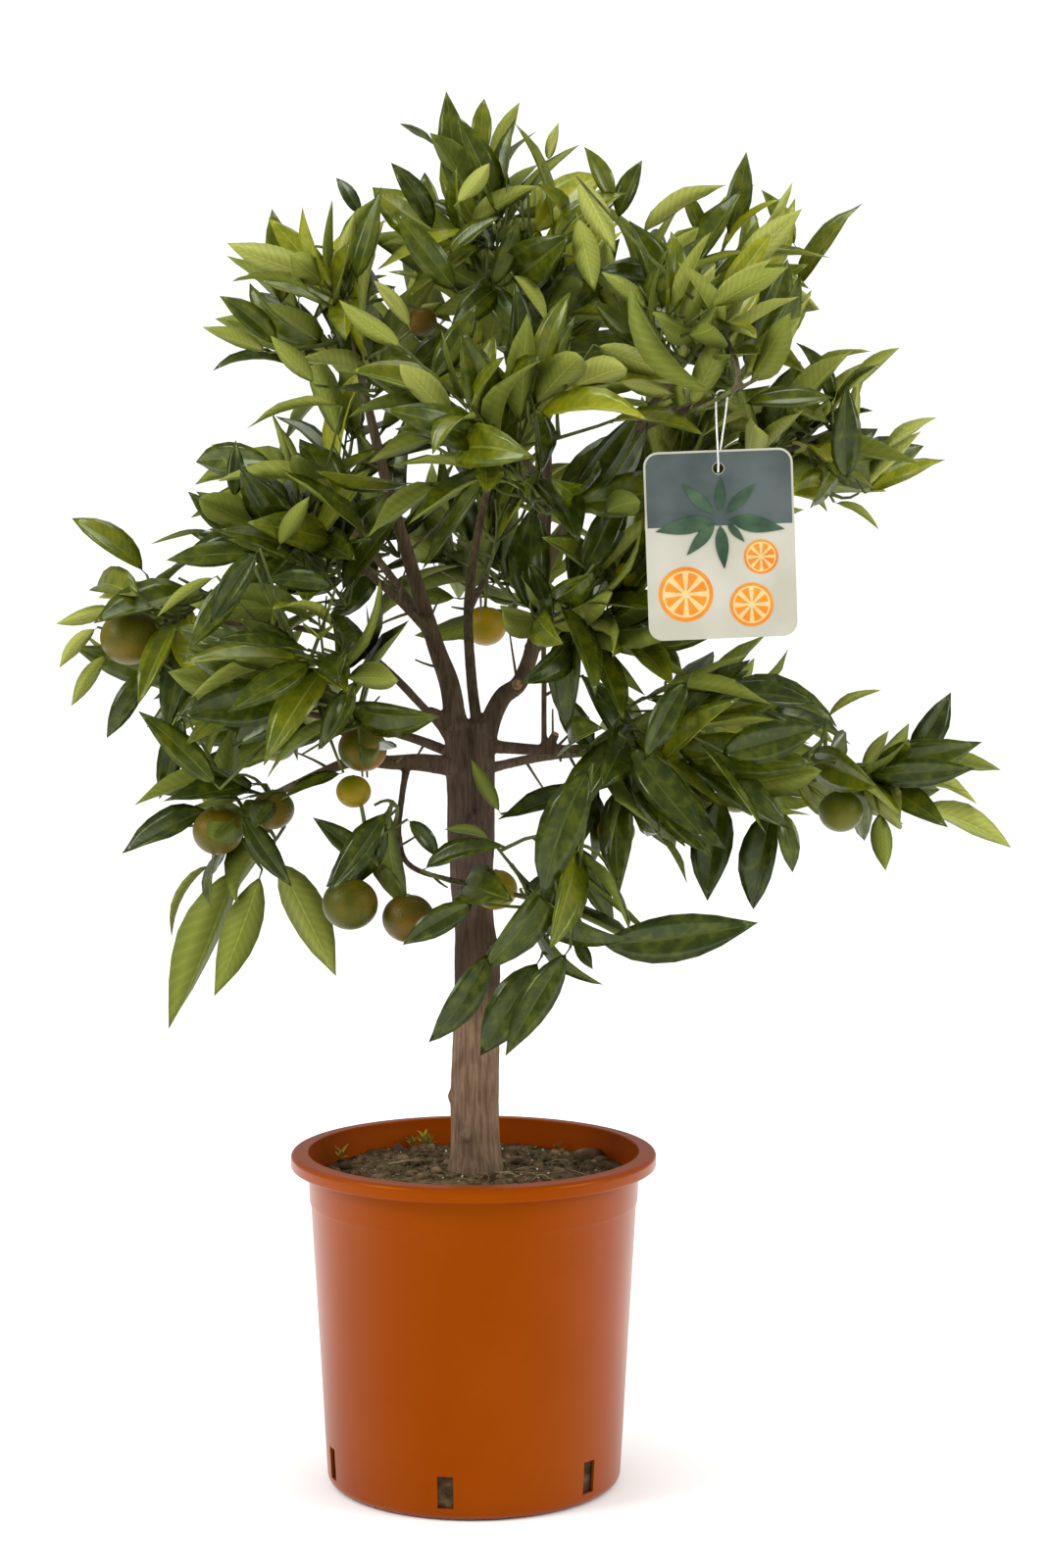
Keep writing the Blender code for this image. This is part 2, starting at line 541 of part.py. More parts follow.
def make_soil():
    """The filling, clear of the wall, with a low mound where the trunk stands."""
    inner_foot = FOOT_RADIUS - FOOT_ROUNDING - GAP
    wall_foot = FOOT_RADIUS - POT_WALL - GAP
    wall_slope = (RIM_INNER_RADIUS - FOOT_RADIUS) / (RIM_TOP - RIM_HEIGHT - FOOT_ROUNDING - POT_WALL)
    wall_start = FOOT_ROUNDING + POT_WALL + GAP
    profile = (
        (0, SOIL_MIDDLE),
        (SOIL_MIDDLE_RADIUS, SOIL_MIDDLE),
        (SOIL_MIDDLE_RADIUS * 2, (SOIL_MIDDLE + SOIL_EDGE) / 2),
        (wall_foot + wall_slope * (SOIL_EDGE - wall_start) - GAP, SOIL_EDGE),
        (wall_foot - GAP, wall_start),
        (inner_foot - GAP, POT_FLOOR + GAP),
        (0, POT_FLOOR + GAP),
    )
    mesh = bpy.data.meshes.new("soil")
    mesh.from_pydata([(r, 0, z) for r, z in profile], [(i, i + 1) for i in range(len(profile) - 1)], [])
    soil = place("soil", mesh, tree)
    turned = soil.modifiers.new("turned", "SCREW")
    turned.steps = POT_STEPS
    turned.render_steps = POT_STEPS
    turned.use_merge_vertices = True
    turned.merge_threshold = WELD
    apply_modifiers(soil)
    soil.data.materials.append(material("potting_soil", SOIL_BROWN, 0.95))


def stem_of_stations(name, stations, more, home):
    """One stem of the trunk. With `more` above 0 it is that much fatter and longer, as a cutter."""
    route = [Vector((x, 0, z)) for x, z, _ in stations]
    if more:
        route = longer(route, more)
    return tube(name, route, [radius + more for _, _, radius in stations], TRUNK_SIDES, home)


def trunk_body(name, more, home):
    """The single trunk and the two stems that it parts in, joined."""
    body = stem_of_stations(name, TRUNK_STATIONS, more, home)
    stems = collection("stems")
    stem_of_stations("left_stem", LEFT_STEM_STATIONS, more, stems)
    stem_of_stations("right_stem", RIGHT_STEM_STATIONS, more, stems)
    unite(body, stems)
    return body


def bough_route(name):
    return smooth_route(BOUGHS[name][2], 2)


def boxes_meet(first, second):
    """Whether the boxes round two meshes in world places overlap."""
    for axis in range(3):
        a = [vertex.co[axis] for vertex in first.data.vertices]
        b = [vertex.co[axis] for vertex in second.data.vertices]
        if max(a) < min(b) or max(b) < min(a):
            return False
    return True


def make_limbs(bark):
    """The trunk, then each bough, cut clear of the limbs before it. Gives the fattened copies too."""
    trunk = trunk_body("trunk", 0, tree)
    trunk.data.materials.append(bark)
    fattened = {"trunk": trunk_body("trunk_clearance", GAP, guides)}
    for name, (foot, tip, _) in BOUGHS.items():
        route = bough_route(name)
        radii = even_radii(foot, tip, len(route))
        bough = tube("bough_" + name, route, radii, BOUGH_SIDES, tree)
        for cutter in fattened.values():
            if boxes_meet(bough, cutter):
                clear = bough.modifiers.new("clear", "BOOLEAN")
                clear.operation = "DIFFERENCE"
                clear.object = cutter
        apply_modifiers(bough)
        keep_main_body(bough.data)
        bough.data.materials.append(bark)
        fattened[name] = tube(
            name + "_clearance", longer(route, GAP), [radius + GAP for radius in radii], BOUGH_SIDES, guides
        )
    return fattened


def make_card():
    """The card: a rounded outline with a round hole, as thick as its extrusion, hung by its hole."""
    width, height = CARD_SIZE
    curve = bpy.data.curves.new("label_card", "CURVE")
    curve.dimensions = "2D"
    curve.fill_mode = "BOTH"
    curve.extrude = CARD_THICKNESS / 2
    outline = []
    for quarter, (side, end) in enumerate(((1, 1), (-1, 1), (-1, -1), (1, -1))):
        middle = Vector((
            side * (width / 2 - CARD_CORNER),
            CARD_HOLE_DROP - height / 2 + end * (height / 2 - CARD_CORNER),
        ))
        for step in range(CARD_CORNER_STEPS):
            angle = math.pi / 2 * (quarter + step / (CARD_CORNER_STEPS - 1))
            outline.append(middle + CARD_CORNER * Vector((math.cos(angle), math.sin(angle))))
    hole = [
        CARD_HOLE_RADIUS * Vector((math.cos(angle), math.sin(angle)))
        for angle in (math.tau * step / 12 for step in range(12))
    ]
    for loop in (outline, hole):
        spline = curve.splines.new("POLY")
        spline.points.add(len(loop) - 1)
        for point, spot in zip(spline.points, loop):
            point.co = (*spot, 0, 1)
        spline.use_cyclic_u = True
    card = place("label_card", curve, tree)
    card.matrix_world = (
        Matrix.Translation(CARD_HOLE)
        @ Matrix.Rotation(CARD_TURN, 4, "Z")
        @ Matrix.Rotation(-CARD_LEAN, 4, "Y")
        @ Matrix.Rotation(math.pi / 2, 4, "X")
    )
    curve.materials.append(material("card", CARD_GREY, 0.6))
    bpy.context.view_layer.update()
    return card


def make_thread():
    """A closed loop through the card's hole and round the bough, turned a quarter on its way up."""
    rise = THREAD_TOP - CARD_HOLE
    low, high = THREAD_HALF_WIDTHS
    route = []

    def add(share, sideways, lift):
        turn = (1 - share) * math.pi / 2
        across = Vector((math.cos(turn), math.sin(turn), 0))
        route.append(CARD_HOLE + rise * share + across * sideways + UP * lift)

    for step in range(THREAD_RUN_STEPS):
        share = step / THREAD_RUN_STEPS
        add(share, low + (high - low) * share, 0)
    for step in range(THREAD_ARC_STEPS):
        angle = math.pi * step / THREAD_ARC_STEPS
        add(1, high * math.cos(angle), high * math.sin(angle))
    for step in range(THREAD_RUN_STEPS):
        share = 1 - step / THREAD_RUN_STEPS
        add(share, -low - (high - low) * share, 0)
    for step in range(THREAD_ARC_STEPS):
        angle = math.pi * step / THREAD_ARC_STEPS
        add(0, -low * math.cos(angle), -low * math.sin(angle))
    curve = bpy.data.curves.new("label_thread", "CURVE")
    curve.dimensions = "3D"
    curve.bevel_depth = THREAD_RADIUS
    curve.bevel_resolution = 0
    spline = curve.splines.new("POLY")
    spline.points.add(len(route) - 1)
    for point, spot in zip(spline.points, route):
        point.co = (*spot, 1)
    spline.use_cyclic_u = True
    curve.materials.append(material("thread", THREAD_WHITE, 0.8))
    return place("label_thread", curve, tree)


def edge_radius(reach, direction):
    """How far an ellipsoid of this reach goes in a direction."""
    return 1 / math.sqrt(sum((direction[axis] / reach[axis]) ** 2 for axis in range(3)))


def dividing_planes(name):
    """A plane between this mass and each other one, which neither crosses."""
    centre, reach = (Vector(value) for value in MASSES[name][:2])
    planes = []
    for other, row in MASSES.items():
        if other == name:
            continue
        away = Vector(row[0]) - centre
        normal = away.normalized()
        own = edge_radius(reach, normal)
        theirs = edge_radius(Vector(row[1]), normal)
        planes.append((centre + away * own / (own + theirs), normal))
    return planes


def in_front_of_card(points):
    """Whether anything at these points would hide the label."""
    width, height = CARD_SIZE
    top = CARD_HOLE.z + CARD_HOLE_DROP
    return (
        min(point.y for point in points) < CARD_HOLE.y
        and max(point.x for point in points) > CARD_HOLE.x - width / 2
        and min(point.x for point in points) < CARD_HOLE.x + width / 2
        and max(point.z for point in points) > top - height
        and min(point.z for point in points) < top
    )


def in_sky(point):
    """Whether a point stands before or behind one of the gaps, seen from the front."""
    share = EYE.y / (EYE.y - point.y)
    x = (EYE.x + (point.x - EYE.x) * share) / MILLIMETRE
    z = (EYE.z + (point.z - EYE.z) * share) / MILLIMETRE
    return any(((x - row[0]) / row[2]) ** 2 + ((z - row[1]) / row[3]) ** 2 < 1 for row in SKY)


def across(direction, hint):
    """A unit vector square to the direction, as near to the hint as it can be."""
    side = hint - direction * hint.dot(direction)
    if side.length < 0.05:
        side = direction.orthogonal()
    return side.normalized()


def lean(spot):
    """Which way shoots turn: away from the crown's middle, and up."""
    away = spot - CROWN_MIDDLE
    away.y *= DEPTH_LEAN
    return (away.normalized() + UP * LIFT).normalized()


def leaf_corners(root, direction, face, length):
    """The root, the tip and the two edges of a blade. The line of its rib is arched above its edges."""
    half_width = face.cross(direction) * length * LEAF_WIDTH / 2
    widest = root + direction * length * LEAF_WIDEST - face * length * LEAF_THICKNESS
    return [root, root + direction * length, widest + half_width, widest - half_width]


def leaf_body(corners):
    """The closed blade round those four corners."""
    shape = bmesh.new()
    for corner in corners:
        shape.verts.new(corner)
    bmesh.ops.convex_hull(shape, input=shape.verts)
    bmesh.ops.recalc_face_normals(shape, faces=shape.faces)
    return shape


class Mass:
    """One mass of foliage while it grows: its own space, and the twigs, leaves and fruit placed so far."""

    def __init__(self, name, limbs):
        self.name = name
        centre, reach, self.leaf_count, seed, self.outer, self.fruit = MASSES[name]
        self.centre = Vector(centre)
        self.reach = Vector(reach)
        self.planes = dividing_planes(name)
        self.limbs = limbs
        self.dice = random.Random(seed)
        self.pieces = collection("pieces_" + name)
        self.twigs = []
        self.routes = []
        self.blades = []
        self.leaves = 0

    def scatter(self, size):
        """A random vector with each of its parts within this size."""
        return Vector([self.dice.uniform(-size, size) for _ in range(3)])

    def keeps_to_space(self, points, inside=True):
        """Whether the points are on this side of every plane and, if asked, within the mass's reach."""
        for point in points:
            if any((point - spot).dot(normal) > -GAP for spot, normal in self.planes):
                return False
            shares = [(point - self.centre)[axis] / self.reach[axis] for axis in range(3)]
            if inside and sum(share ** 2 for share in shares) > REACH_MORE ** 2:
                return False
        return not in_front_of_card(points)

    def touches_limb(self, shape, own=None):
        return any(shape.overlap(limb) for name, limb in self.limbs.items() if name != own)

    def add_twig(self, route, radii, own=None, inside=False):
        """A three-sided twig, kept only if it stays in the space and clear of the limbs and the fruit."""
        twig = tube("twig", route, radii, 3, self.pieces)
        points = [vertex.co for vertex in twig.data.vertices]
        shape = BVHTree.FromPolygons(points, [list(face.vertices) for face in twig.data.polygons])
        fits = self.keeps_to_space(points, inside) and not self.touches_limb(shape, own)
        if not fits or any(shape.overlap(blade) for blade in self.blades):
            bpy.data.objects.remove(twig)
            return None
        self.twigs.append(shape)
        return twig

    def drop_twig(self, twig):
        self.twigs.pop()
        bpy.data.objects.remove(twig)

    def add_leaf(self, spot, direction, hint, length, radius, own_twig, inside=True):
        """A leaf with its root sunk in a twig, kept only if it is clear of everything but that twig."""
        root = spot - direction * radius * ROOT_SUNK
        corners = leaf_corners(root, direction, across(direction, hint), length)
        middle = (corners[0] + corners[1]) / 2
        if inside and any(map(in_sky, [middle, *corners[1:]])):
            return False
        if not self.keeps_to_space(corners, inside):
            return False
        body = leaf_body(corners)
        shape = BVHTree.FromBMesh(body)
        others = [twig for twig in self.twigs if twig is not own_twig] + self.blades
        fits = not self.touches_limb(shape) and not any(shape.overlap(other) for other in others)
        if fits:
            mesh = bpy.data.meshes.new("leaf")
            body.to_mesh(mesh)
            place("leaf", mesh, self.pieces)
            self.blades.append(shape)
            self.leaves += 1
        body.free()
        return fits

    def grow_stem(self):
        """From just off the bough's tip, on in its direction, to a little past the mass's centre."""
        bough = bough_route(self.name)
        heading = (bough[-1] - bough[-2]).normalized()
        start = bough[-1] + heading * (2 * GAP)
        straight = start + heading * STEM_START
        end = self.centre + (self.centre - start) * 0.12
        bend = straight + heading * (end - straight).length * 0.45
        self.stem = [start] + [
            straight * (1 - t) ** 2 + bend * 2 * t * (1 - t) + end * t * t for t in (0, 1 / 3, 2 / 3, 1)
        ]
        self.stem_radii = even_radii(BOUGHS[self.name][1] * 1.1, STEM_END_RADIUS, len(self.stem))
        return self.add_twig(self.stem, self.stem_radii, own=self.name)

    def on_stem(self, share):
        """A place on the stem's middle line."""
        span = min(int(share * (len(self.stem) - 1)), len(self.stem) - 2)
        part = share * (len(self.stem) - 1) - span
        return self.stem[span].lerp(self.stem[span + 1], part)

    def stem_spots(self, target):
        """Places on the stem where a shoot may start, those nearest to its end first."""
        spots = [self.on_stem(step / 10) for step in range(2, 11)]
        return sorted(spots, key=lambda spot: (spot - target).length)

    def grow_fruit(self, spot, radius):
        """A fruit that hangs under the end of its own stalk."""
        spot = Vector(spot)
        top = spot + UP * radius * FRUIT_SUNK
        for start in self.stem_spots(top + UP * 0.012):
            middle = (start + top) / 2 + UP * (top - start).length * STALK_RISE
            if self.add_twig([start, middle, top], even_radii(*SHOOT_RADII, 3)):
                break
        else:
            return
        self.twigs.pop()
        shape = bmesh.new()
        bmesh.ops.create_uvsphere(shape, u_segments=FRUIT_SEGMENTS, v_segments=FRUIT_RINGS, radius=radius)
        bmesh.ops.translate(shape, verts=shape.verts, vec=spot)
        self.blades.append(BVHTree.FromBMesh(shape))
        mesh = bpy.data.meshes.new("fruit")
        shape.to_mesh(mesh)
        shape.free()
        place("fruit", mesh, self.pieces)

    def fork(self, end):
        """Where a new shoot leaves the twigs that are there already: near its end, and mostly below it."""
        spots = [self.on_stem(step / 10) for step in (3, 5, 7, 9)]
        spots += [start.lerp(tip, share) for start, tip in self.routes for share in FORK_SHARES]
        spots = [spot for spot in spots if (end - spot).length > SHORTEST_SHOOT] or [self.stem[0]]
        leaning = lean(end)
        return min(spots, key=lambda spot: (end - spot).length * 1.5 - (end - spot).dot(leaning))

    def leaves_along(self, route, twig_shape, phase, shares):
        """Leaves in a spiral along a shoot, each tried at a few turns and lengths until it fits."""
        start, end = route
        heading = (end - start).normalized()
        for number, share in enumerate(shares):
            if self.leaves >= self.leaf_count:
                return
            spot = start.lerp(end, share)
            for attempt in range(LEAF_TRIES):
                turn = phase + number * GOLDEN_ANGLE + attempt * math.tau / LEAF_TRIES
                side = Matrix.Rotation(turn, 3, heading) @ across(heading, UP)
                spread = math.radians(self.dice.uniform(*LEAF_SPREAD))
                direction = heading * math.cos(spread) + side * math.sin(spread) + lean(spot) * OUTWARD
                length = LEAF_LENGTH * self.dice.uniform(*LEAF_LENGTHS) * (1 - 0.035 * attempt)
                hint = heading + UP * 0.35 + FRONT * 0.25 + self.scatter(0.6)
                if self.add_leaf(spot, direction.normalized(), hint, length, SHOOT_RADII[1], twig_shape):
                    break

    def grow_outer_leaf(self, number, row):
        """A shoot out to one of the leaves that stand out most, that leaf, and one behind it."""
        tip_x, tip_z, foot_x, foot_z, depth = (value * MILLIMETRE for value in row[:5])
        turned = row[5]
        tip = Vector((tip_x, depth, tip_z))
        starts = self.stem_spots(Vector((foot_x, depth, foot_z)))
        start = starts[0]
        foot = Vector((foot_x, depth * 0.8 + start.y * 0.2, foot_z))
        hint = FRONT * turned + UP * (1 - abs(turned))
        if (foot - start).length < SHORTEST_SHOOT:
            blade, stem_shape = tip - start, self.twigs[0]
            self.add_leaf(start, blade.normalized(), hint, blade.length, STEM_END_RADIUS, stem_shape, False)
            return
        for start in starts:
            route = [start, foot]
            twig = self.add_twig(route, SHOOT_RADII)
            if twig:
                break
        else:
            return
        twig_shape = self.twigs[-1]
        blade = tip - foot
        for share in OUTER_LENGTHS:
            length = blade.length * share
            if self.add_leaf(foot, blade.normalized(), hint, length, SHOOT_RADII[1], twig_shape, False):
                self.routes.append(route)
                self.leaves_along(route, twig_shape, number, OUTER_SHARES)
                return
        self.drop_twig(twig)

    def grow_shoot(self, number):
        """A shoot towards one of many even directions round the centre, with its leaves."""
        height = 1 - (2 * ((number * GOLDEN_SHARE) % 1))
        turn = number * GOLDEN_ANGLE
        ring = math.sqrt(1 - height * height)
        aim = Vector((ring * math.cos(turn), ring * math.sin(turn), height))
        reach = self.dice.uniform(*SHOOT_REACH)
        end = self.centre + Vector([aim[axis] * self.reach[axis] for axis in range(3)]) * reach
        route = [self.fork(end), end]
        twig = self.add_twig(route, SHOOT_RADII, inside=True)
        if not twig:
            return
        twig_shape = self.twigs[-1]
        before = self.leaves
        heading = (end - route[0]).normalized()
        direction = heading.lerp(lean(end), 0.5).normalized()
        hint = heading + UP * 0.35 + FRONT * 0.25 + self.scatter(0.6)
        for attempt in range(5):
            length = LEAF_LENGTH * (1.1 - 0.12 * attempt)
            if self.add_leaf(end, direction, hint, length, SHOOT_RADII[1], twig_shape):
                break
        self.leaves_along(route, twig_shape, turn, LEAF_SHARES)
        if self.leaves > before:
            self.routes.append(route)
        else:
            self.drop_twig(twig)

    def grow(self, leaf_material):
        """The whole mass, as one joined body."""
        stem = self.grow_stem()
        for spot, radius in self.fruit:
            self.grow_fruit(spot, radius)
        for number, row in enumerate(self.outer):
            self.grow_outer_leaf(number, row)
        for number in range(SHOOT_TRIES):
            if self.leaves < self.leaf_count:
                self.grow_shoot(number)
        self.pieces.objects.unlink(stem)
        tree.objects.link(stem)
        stem.name = "foliage_" + self.name
        unite(stem, self.pieces, "MANIFOLD")
        stem.data.materials.append(leaf_material)


def search_tree(target):
    """A search tree of an object's shown surface, in world places."""
    mesh = evaluated_mesh(target)
    mesh.transform(target.matrix_world)
    points = [vertex.co.copy() for vertex in mesh.vertices]
    faces = [list(face.vertices) for face in mesh.polygons]
    bpy.data.meshes.remove(mesh)
    return BVHTree.FromPolygons(points, faces)


for old in list(bpy.data.objects):
    bpy.data.objects.remove(old)
tree = collection("potted_kucle_citrus_tree")
guides = collection("guides")
twig_section = three_sided_section()
bark_material = material("bark", BARK, 0.85)
foliage_material = material("foliage", GREEN, 0.45)

make_pot()
make_soil()
clearances = make_limbs(bark_material)
card = make_card()
thread = make_thread()
obstacles = {name: search_tree(limb) for name, limb in clearances.items()}
obstacles["label_card"] = search_tree(card)
obstacles["label_thread"] = search_tree(thread)
for limb in clearances.values():
    bpy.data.objects.remove(limb)
for mass_name in MASSES:
    Mass(mass_name, obstacles).grow(foliage_material)
bpy.data.objects.remove(twig_section)
bpy.data.collections.remove(guides)
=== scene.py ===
import math
import random

import bmesh
import bpy
import numpy as np
from mathutils import Matrix, Vector, noise
from mathutils.bvhtree import BVHTree


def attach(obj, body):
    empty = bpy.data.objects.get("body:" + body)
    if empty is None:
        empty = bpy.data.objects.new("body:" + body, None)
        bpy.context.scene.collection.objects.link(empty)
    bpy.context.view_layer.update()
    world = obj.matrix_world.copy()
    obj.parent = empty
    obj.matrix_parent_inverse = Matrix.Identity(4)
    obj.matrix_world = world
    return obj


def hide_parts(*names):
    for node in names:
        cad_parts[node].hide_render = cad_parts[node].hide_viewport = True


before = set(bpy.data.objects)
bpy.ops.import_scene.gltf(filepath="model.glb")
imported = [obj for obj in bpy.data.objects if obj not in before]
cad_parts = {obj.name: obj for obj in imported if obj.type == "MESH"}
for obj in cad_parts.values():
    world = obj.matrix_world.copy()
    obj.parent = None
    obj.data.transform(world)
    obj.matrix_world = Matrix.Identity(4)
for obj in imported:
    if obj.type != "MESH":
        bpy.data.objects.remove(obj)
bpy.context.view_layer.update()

# Camera
# It stands two metres in front of the plant, a little above its middle, and looks slightly down.
# Metres, +Z up, the viewer on the -Y side.
bpy.ops.object.camera_add(location=(0.030, -1.993, 0.615), rotation=(math.radians(84.5), 0, 0))
camera = bpy.context.object
camera.data.sensor_width = 36
camera.data.lens = 77.1
bpy.context.scene.camera = camera
bpy.context.scene.view_settings.view_transform = "Standard"


# Pot
# A moulded nursery pot of thin orange polypropylene: a tapered shell with a rolled rim, a soft step
# under it, a rounded foot, and six drain slots low in the wall.
RIM_RADIUS = 0.110
RIM_INNER_RADIUS = 0.0994
RIM_TOP = 0.202
RIM_HEIGHT = 0.0095
NECK_RADIUS = 0.0993
FOOT_RADIUS = 0.0889
FOOT_ROUNDING = 0.006
POT_WALL = 0.0018
POT_FLOOR = 0.0028
POT_SEGMENTS = 128
STEP_HEIGHT = 0.171
STEP_DEPTH = 0.0005
SLOT_COUNT = 6
SLOT_FIRST_ANGLE = math.radians(-100)
SLOT_SIZE = (0.012, 0.0095, 0.0195)
SLOT_BOTTOM = 0.0075
ORANGE = (0.212, 0.0345, 0.0003, 1)
ORANGE_DUSTY = (0.242, 0.0440, 0.0020, 1)


def activate(target):
    """Selects one object alone and makes it the active one."""
    bpy.ops.object.select_all(action="DESELECT")
    target.select_set(True)
    bpy.context.view_layer.objects.active = target


def finish_mesh(target, angle):
    """Smooth shading, with edges kept sharp above an angle."""
    activate(target)
    bpy.ops.object.shade_smooth()
    target.data.set_sharp_from_angle(angle=math.radians(angle))


def apply_modifier(target, kind, **settings):
    """Adds a modifier with these settings and applies it."""
    added = target.modifiers.new(kind.lower(), kind)
    for setting, value in settings.items():
        setattr(added, setting, value)
    activate(target)
    bpy.ops.object.modifier_apply(modifier=added.name)


def turned(name, profile, segments):
    """A solid of revolution: a disc whose edge is carried on from each radius and height to the next."""
    radius, height = profile[0]
    bpy.ops.object.select_all(action="DESELECT")
    bpy.ops.mesh.primitive_circle_add(vertices=segments, radius=radius, fill_type="TRIFAN")
    made = bpy.context.object
    made.name = name
    bpy.ops.object.mode_set(mode="EDIT")
    bpy.ops.mesh.select_all(action="SELECT")
    bpy.ops.transform.translate(value=(0, 0, height))
    bpy.ops.mesh.region_to_loop()
    for next_radius, next_height in profile[1:]:
        bpy.ops.mesh.extrude_edges_move(TRANSFORM_OT_translate={"value": (0, 0, next_height - height)})
        share = next_radius / radius
        bpy.ops.transform.resize(value=(share, share, 1), center_override=(0, 0, next_height))
        radius, height = next_radius, next_height
    bpy.ops.mesh.extrude_edges_move()
    bpy.ops.mesh.merge(type="CENTER")
    bpy.ops.mesh.select_all(action="SELECT")
    bpy.ops.mesh.normals_make_consistent(inside=False)
    bpy.ops.object.mode_set(mode="OBJECT")
    return made


def arc(middle, radius, first, last, steps):
    """Radii and heights round a corner of a profile, between two angles in degrees."""
    angles = [math.radians(first + (last - first) * step / steps) for step in range(steps + 1)]
    return [(middle[0] + radius * math.cos(angle), middle[1] + radius * math.sin(angle)) for angle in angles]


def material(name, colour, roughness, gloss=0.2, sheen=(1, 1, 1, 1)):
    """A new Principled material in one colour. The gloss is how strongly it mirrors, the sheen in what tint."""
    made = bpy.data.materials.new(name)
    made.use_nodes = True
    shader = made.node_tree.nodes["Principled BSDF"]
    shader.inputs["Base Color"].default_value = colour
    shader.inputs["Roughness"].default_value = roughness
    shader.inputs["Specular IOR Level"].default_value = gloss
    shader.inputs["Specular Tint"].default_value = sheen
    made.diffuse_color = colour
    return made


def add_node(made, kind, **settings):
    node = made.node_tree.nodes.new(kind)
    for setting, value in settings.items():
        setattr(node, setting, value)
    return node


def noise_in_object(made, scale, detail=4, stretch=(1, 1, 1)):
    """A noise that is fixed to the object's own places. Gives its factor output."""
    links = made.node_tree.links
    places = add_node(made, "ShaderNodeTexCoord")
    spread = add_node(made, "ShaderNodeMapping")
    spread.inputs["Scale"].default_value = stretch
    pattern = add_node(made, "ShaderNodeTexNoise")
    pattern.inputs["Scale"].default_value = scale
    pattern.inputs["Detail"].default_value = detail
    links.new(places.outputs["Object"], spread.inputs["Vector"])
    links.new(spread.outputs["Vector"], pattern.inputs["Vector"])
    return pattern.outputs["Fac"]


def graded(made, factor, stops):
    """Colours that a factor picks from, as (place, colour) stops. Gives the colour output."""
    ramp = add_node(made, "ShaderNodeValToRGB")
    elements = ramp.color_ramp.elements
    while len(elements) < len(stops):
        elements.new(0.5)
    for element, (spot, colour) in zip(elements, stops):
        element.position = spot
        element.color = colour
    made.node_tree.links.new(factor, ramp.inputs["Fac"])
    return ramp.outputs["Color"]


def blended(made, factor, first, second, kind="MIX"):
    """One colour laid over another by a factor. Each colour is an output or a plain colour."""
    mix = add_node(made, "ShaderNodeMix", data_type="RGBA", blend_type=kind)
    for value, socket in ((factor, mix.inputs[0]), (first, mix.inputs[6]), (second, mix.inputs[7])):
        if isinstance(value, bpy.types.NodeSocket):
            made.node_tree.links.new(value, socket)
        else:
            socket.default_value = value
    return mix.outputs[2]


def paint(made, colour):
    shader = made.node_tree.nodes["Principled BSDF"]
    made.node_tree.links.new(colour, shader.inputs["Base Color"])


def roughen(made, factor, strength, distance):
    """A bump from a factor, this many metres deep."""
    bump = add_node(made, "ShaderNodeBump")
    bump.inputs["Strength"].default_value = strength
    bump.inputs["Distance"].default_value = distance
    shader = made.node_tree.nodes["Principled BSDF"]
    made.node_tree.links.new(factor, bump.inputs["Height"])
    made.node_tree.links.new(bump.outputs["Normal"], shader.inputs["Normal"])


rim_bottom = RIM_TOP - RIM_HEIGHT
wall_slope = (NECK_RADIUS - FOOT_RADIUS) / (rim_bottom - FOOT_ROUNDING)
step_radius = FOOT_RADIUS + wall_slope * (STEP_HEIGHT - FOOT_ROUNDING)
pot_profile = [
    (0.002, POT_FLOOR),
    (FOOT_RADIUS - FOOT_ROUNDING, POT_FLOOR),
    *arc((FOOT_RADIUS - FOOT_ROUNDING, FOOT_ROUNDING + POT_WALL), FOOT_ROUNDING - POT_WALL, -80, 0, 6),
    (step_radius - POT_WALL, STEP_HEIGHT - 0.004),
    (NECK_RADIUS - POT_WALL, rim_bottom - 0.003),
    (RIM_INNER_RADIUS - 0.0006, rim_bottom + 0.003),
    (RIM_INNER_RADIUS, RIM_TOP - 0.0016),
    *arc((RIM_INNER_RADIUS + 0.0008, RIM_TOP - 0.0008), 0.0008, 180, 90, 4),
    (RIM_INNER_RADIUS + 0.0024, RIM_TOP - 0.0003),
    (RIM_RADIUS - 0.0048, RIM_TOP - 0.0004),
    *arc((RIM_RADIUS - 0.0030, RIM_TOP - 0.0034), 0.0030, 80, 0, 7),
    (RIM_RADIUS - 0.0001, rim_bottom + 0.0024),
    *arc((RIM_RADIUS - 0.0014, rim_bottom + 0.0016), 0.0013, 0, -90, 5),
    (NECK_RADIUS + 0.0022, rim_bottom + 0.0002),
    *arc((NECK_RADIUS + 0.0022, rim_bottom - 0.0018), 0.0020, 90, 180, 5),
    (step_radius + STEP_DEPTH + 0.0003, STEP_HEIGHT + 0.0016),
    (step_radius + STEP_DEPTH, STEP_HEIGHT + 0.0006),
    (step_radius - 0.0001, STEP_HEIGHT - 0.0012),
    (FOOT_RADIUS + wall_slope * 0.060, FOOT_ROUNDING + 0.060),
    (FOOT_RADIUS + wall_slope * 0.020, FOOT_ROUNDING + 0.020),
    *arc((FOOT_RADIUS - FOOT_ROUNDING, FOOT_ROUNDING), FOOT_ROUNDING, 0, -90, 8),
    (0.002, 0),
]
pot = turned("pot_shell", pot_profile, POT_SEGMENTS)
slot_boxes = []
for index in range(SLOT_COUNT):
    angle = SLOT_FIRST_ANGLE + math.tau * index / SLOT_COUNT
    spot = (FOOT_RADIUS * math.cos(angle), FOOT_RADIUS * math.sin(angle), SLOT_BOTTOM + SLOT_SIZE[2] / 2)
    bpy.ops.mesh.primitive_cube_add(size=1, location=spot, rotation=(0, 0, angle), scale=SLOT_SIZE)
    slot_boxes.append(bpy.context.object)
bpy.ops.object.select_all(action="DESELECT")
for box in slot_boxes:
    box.select_set(True)
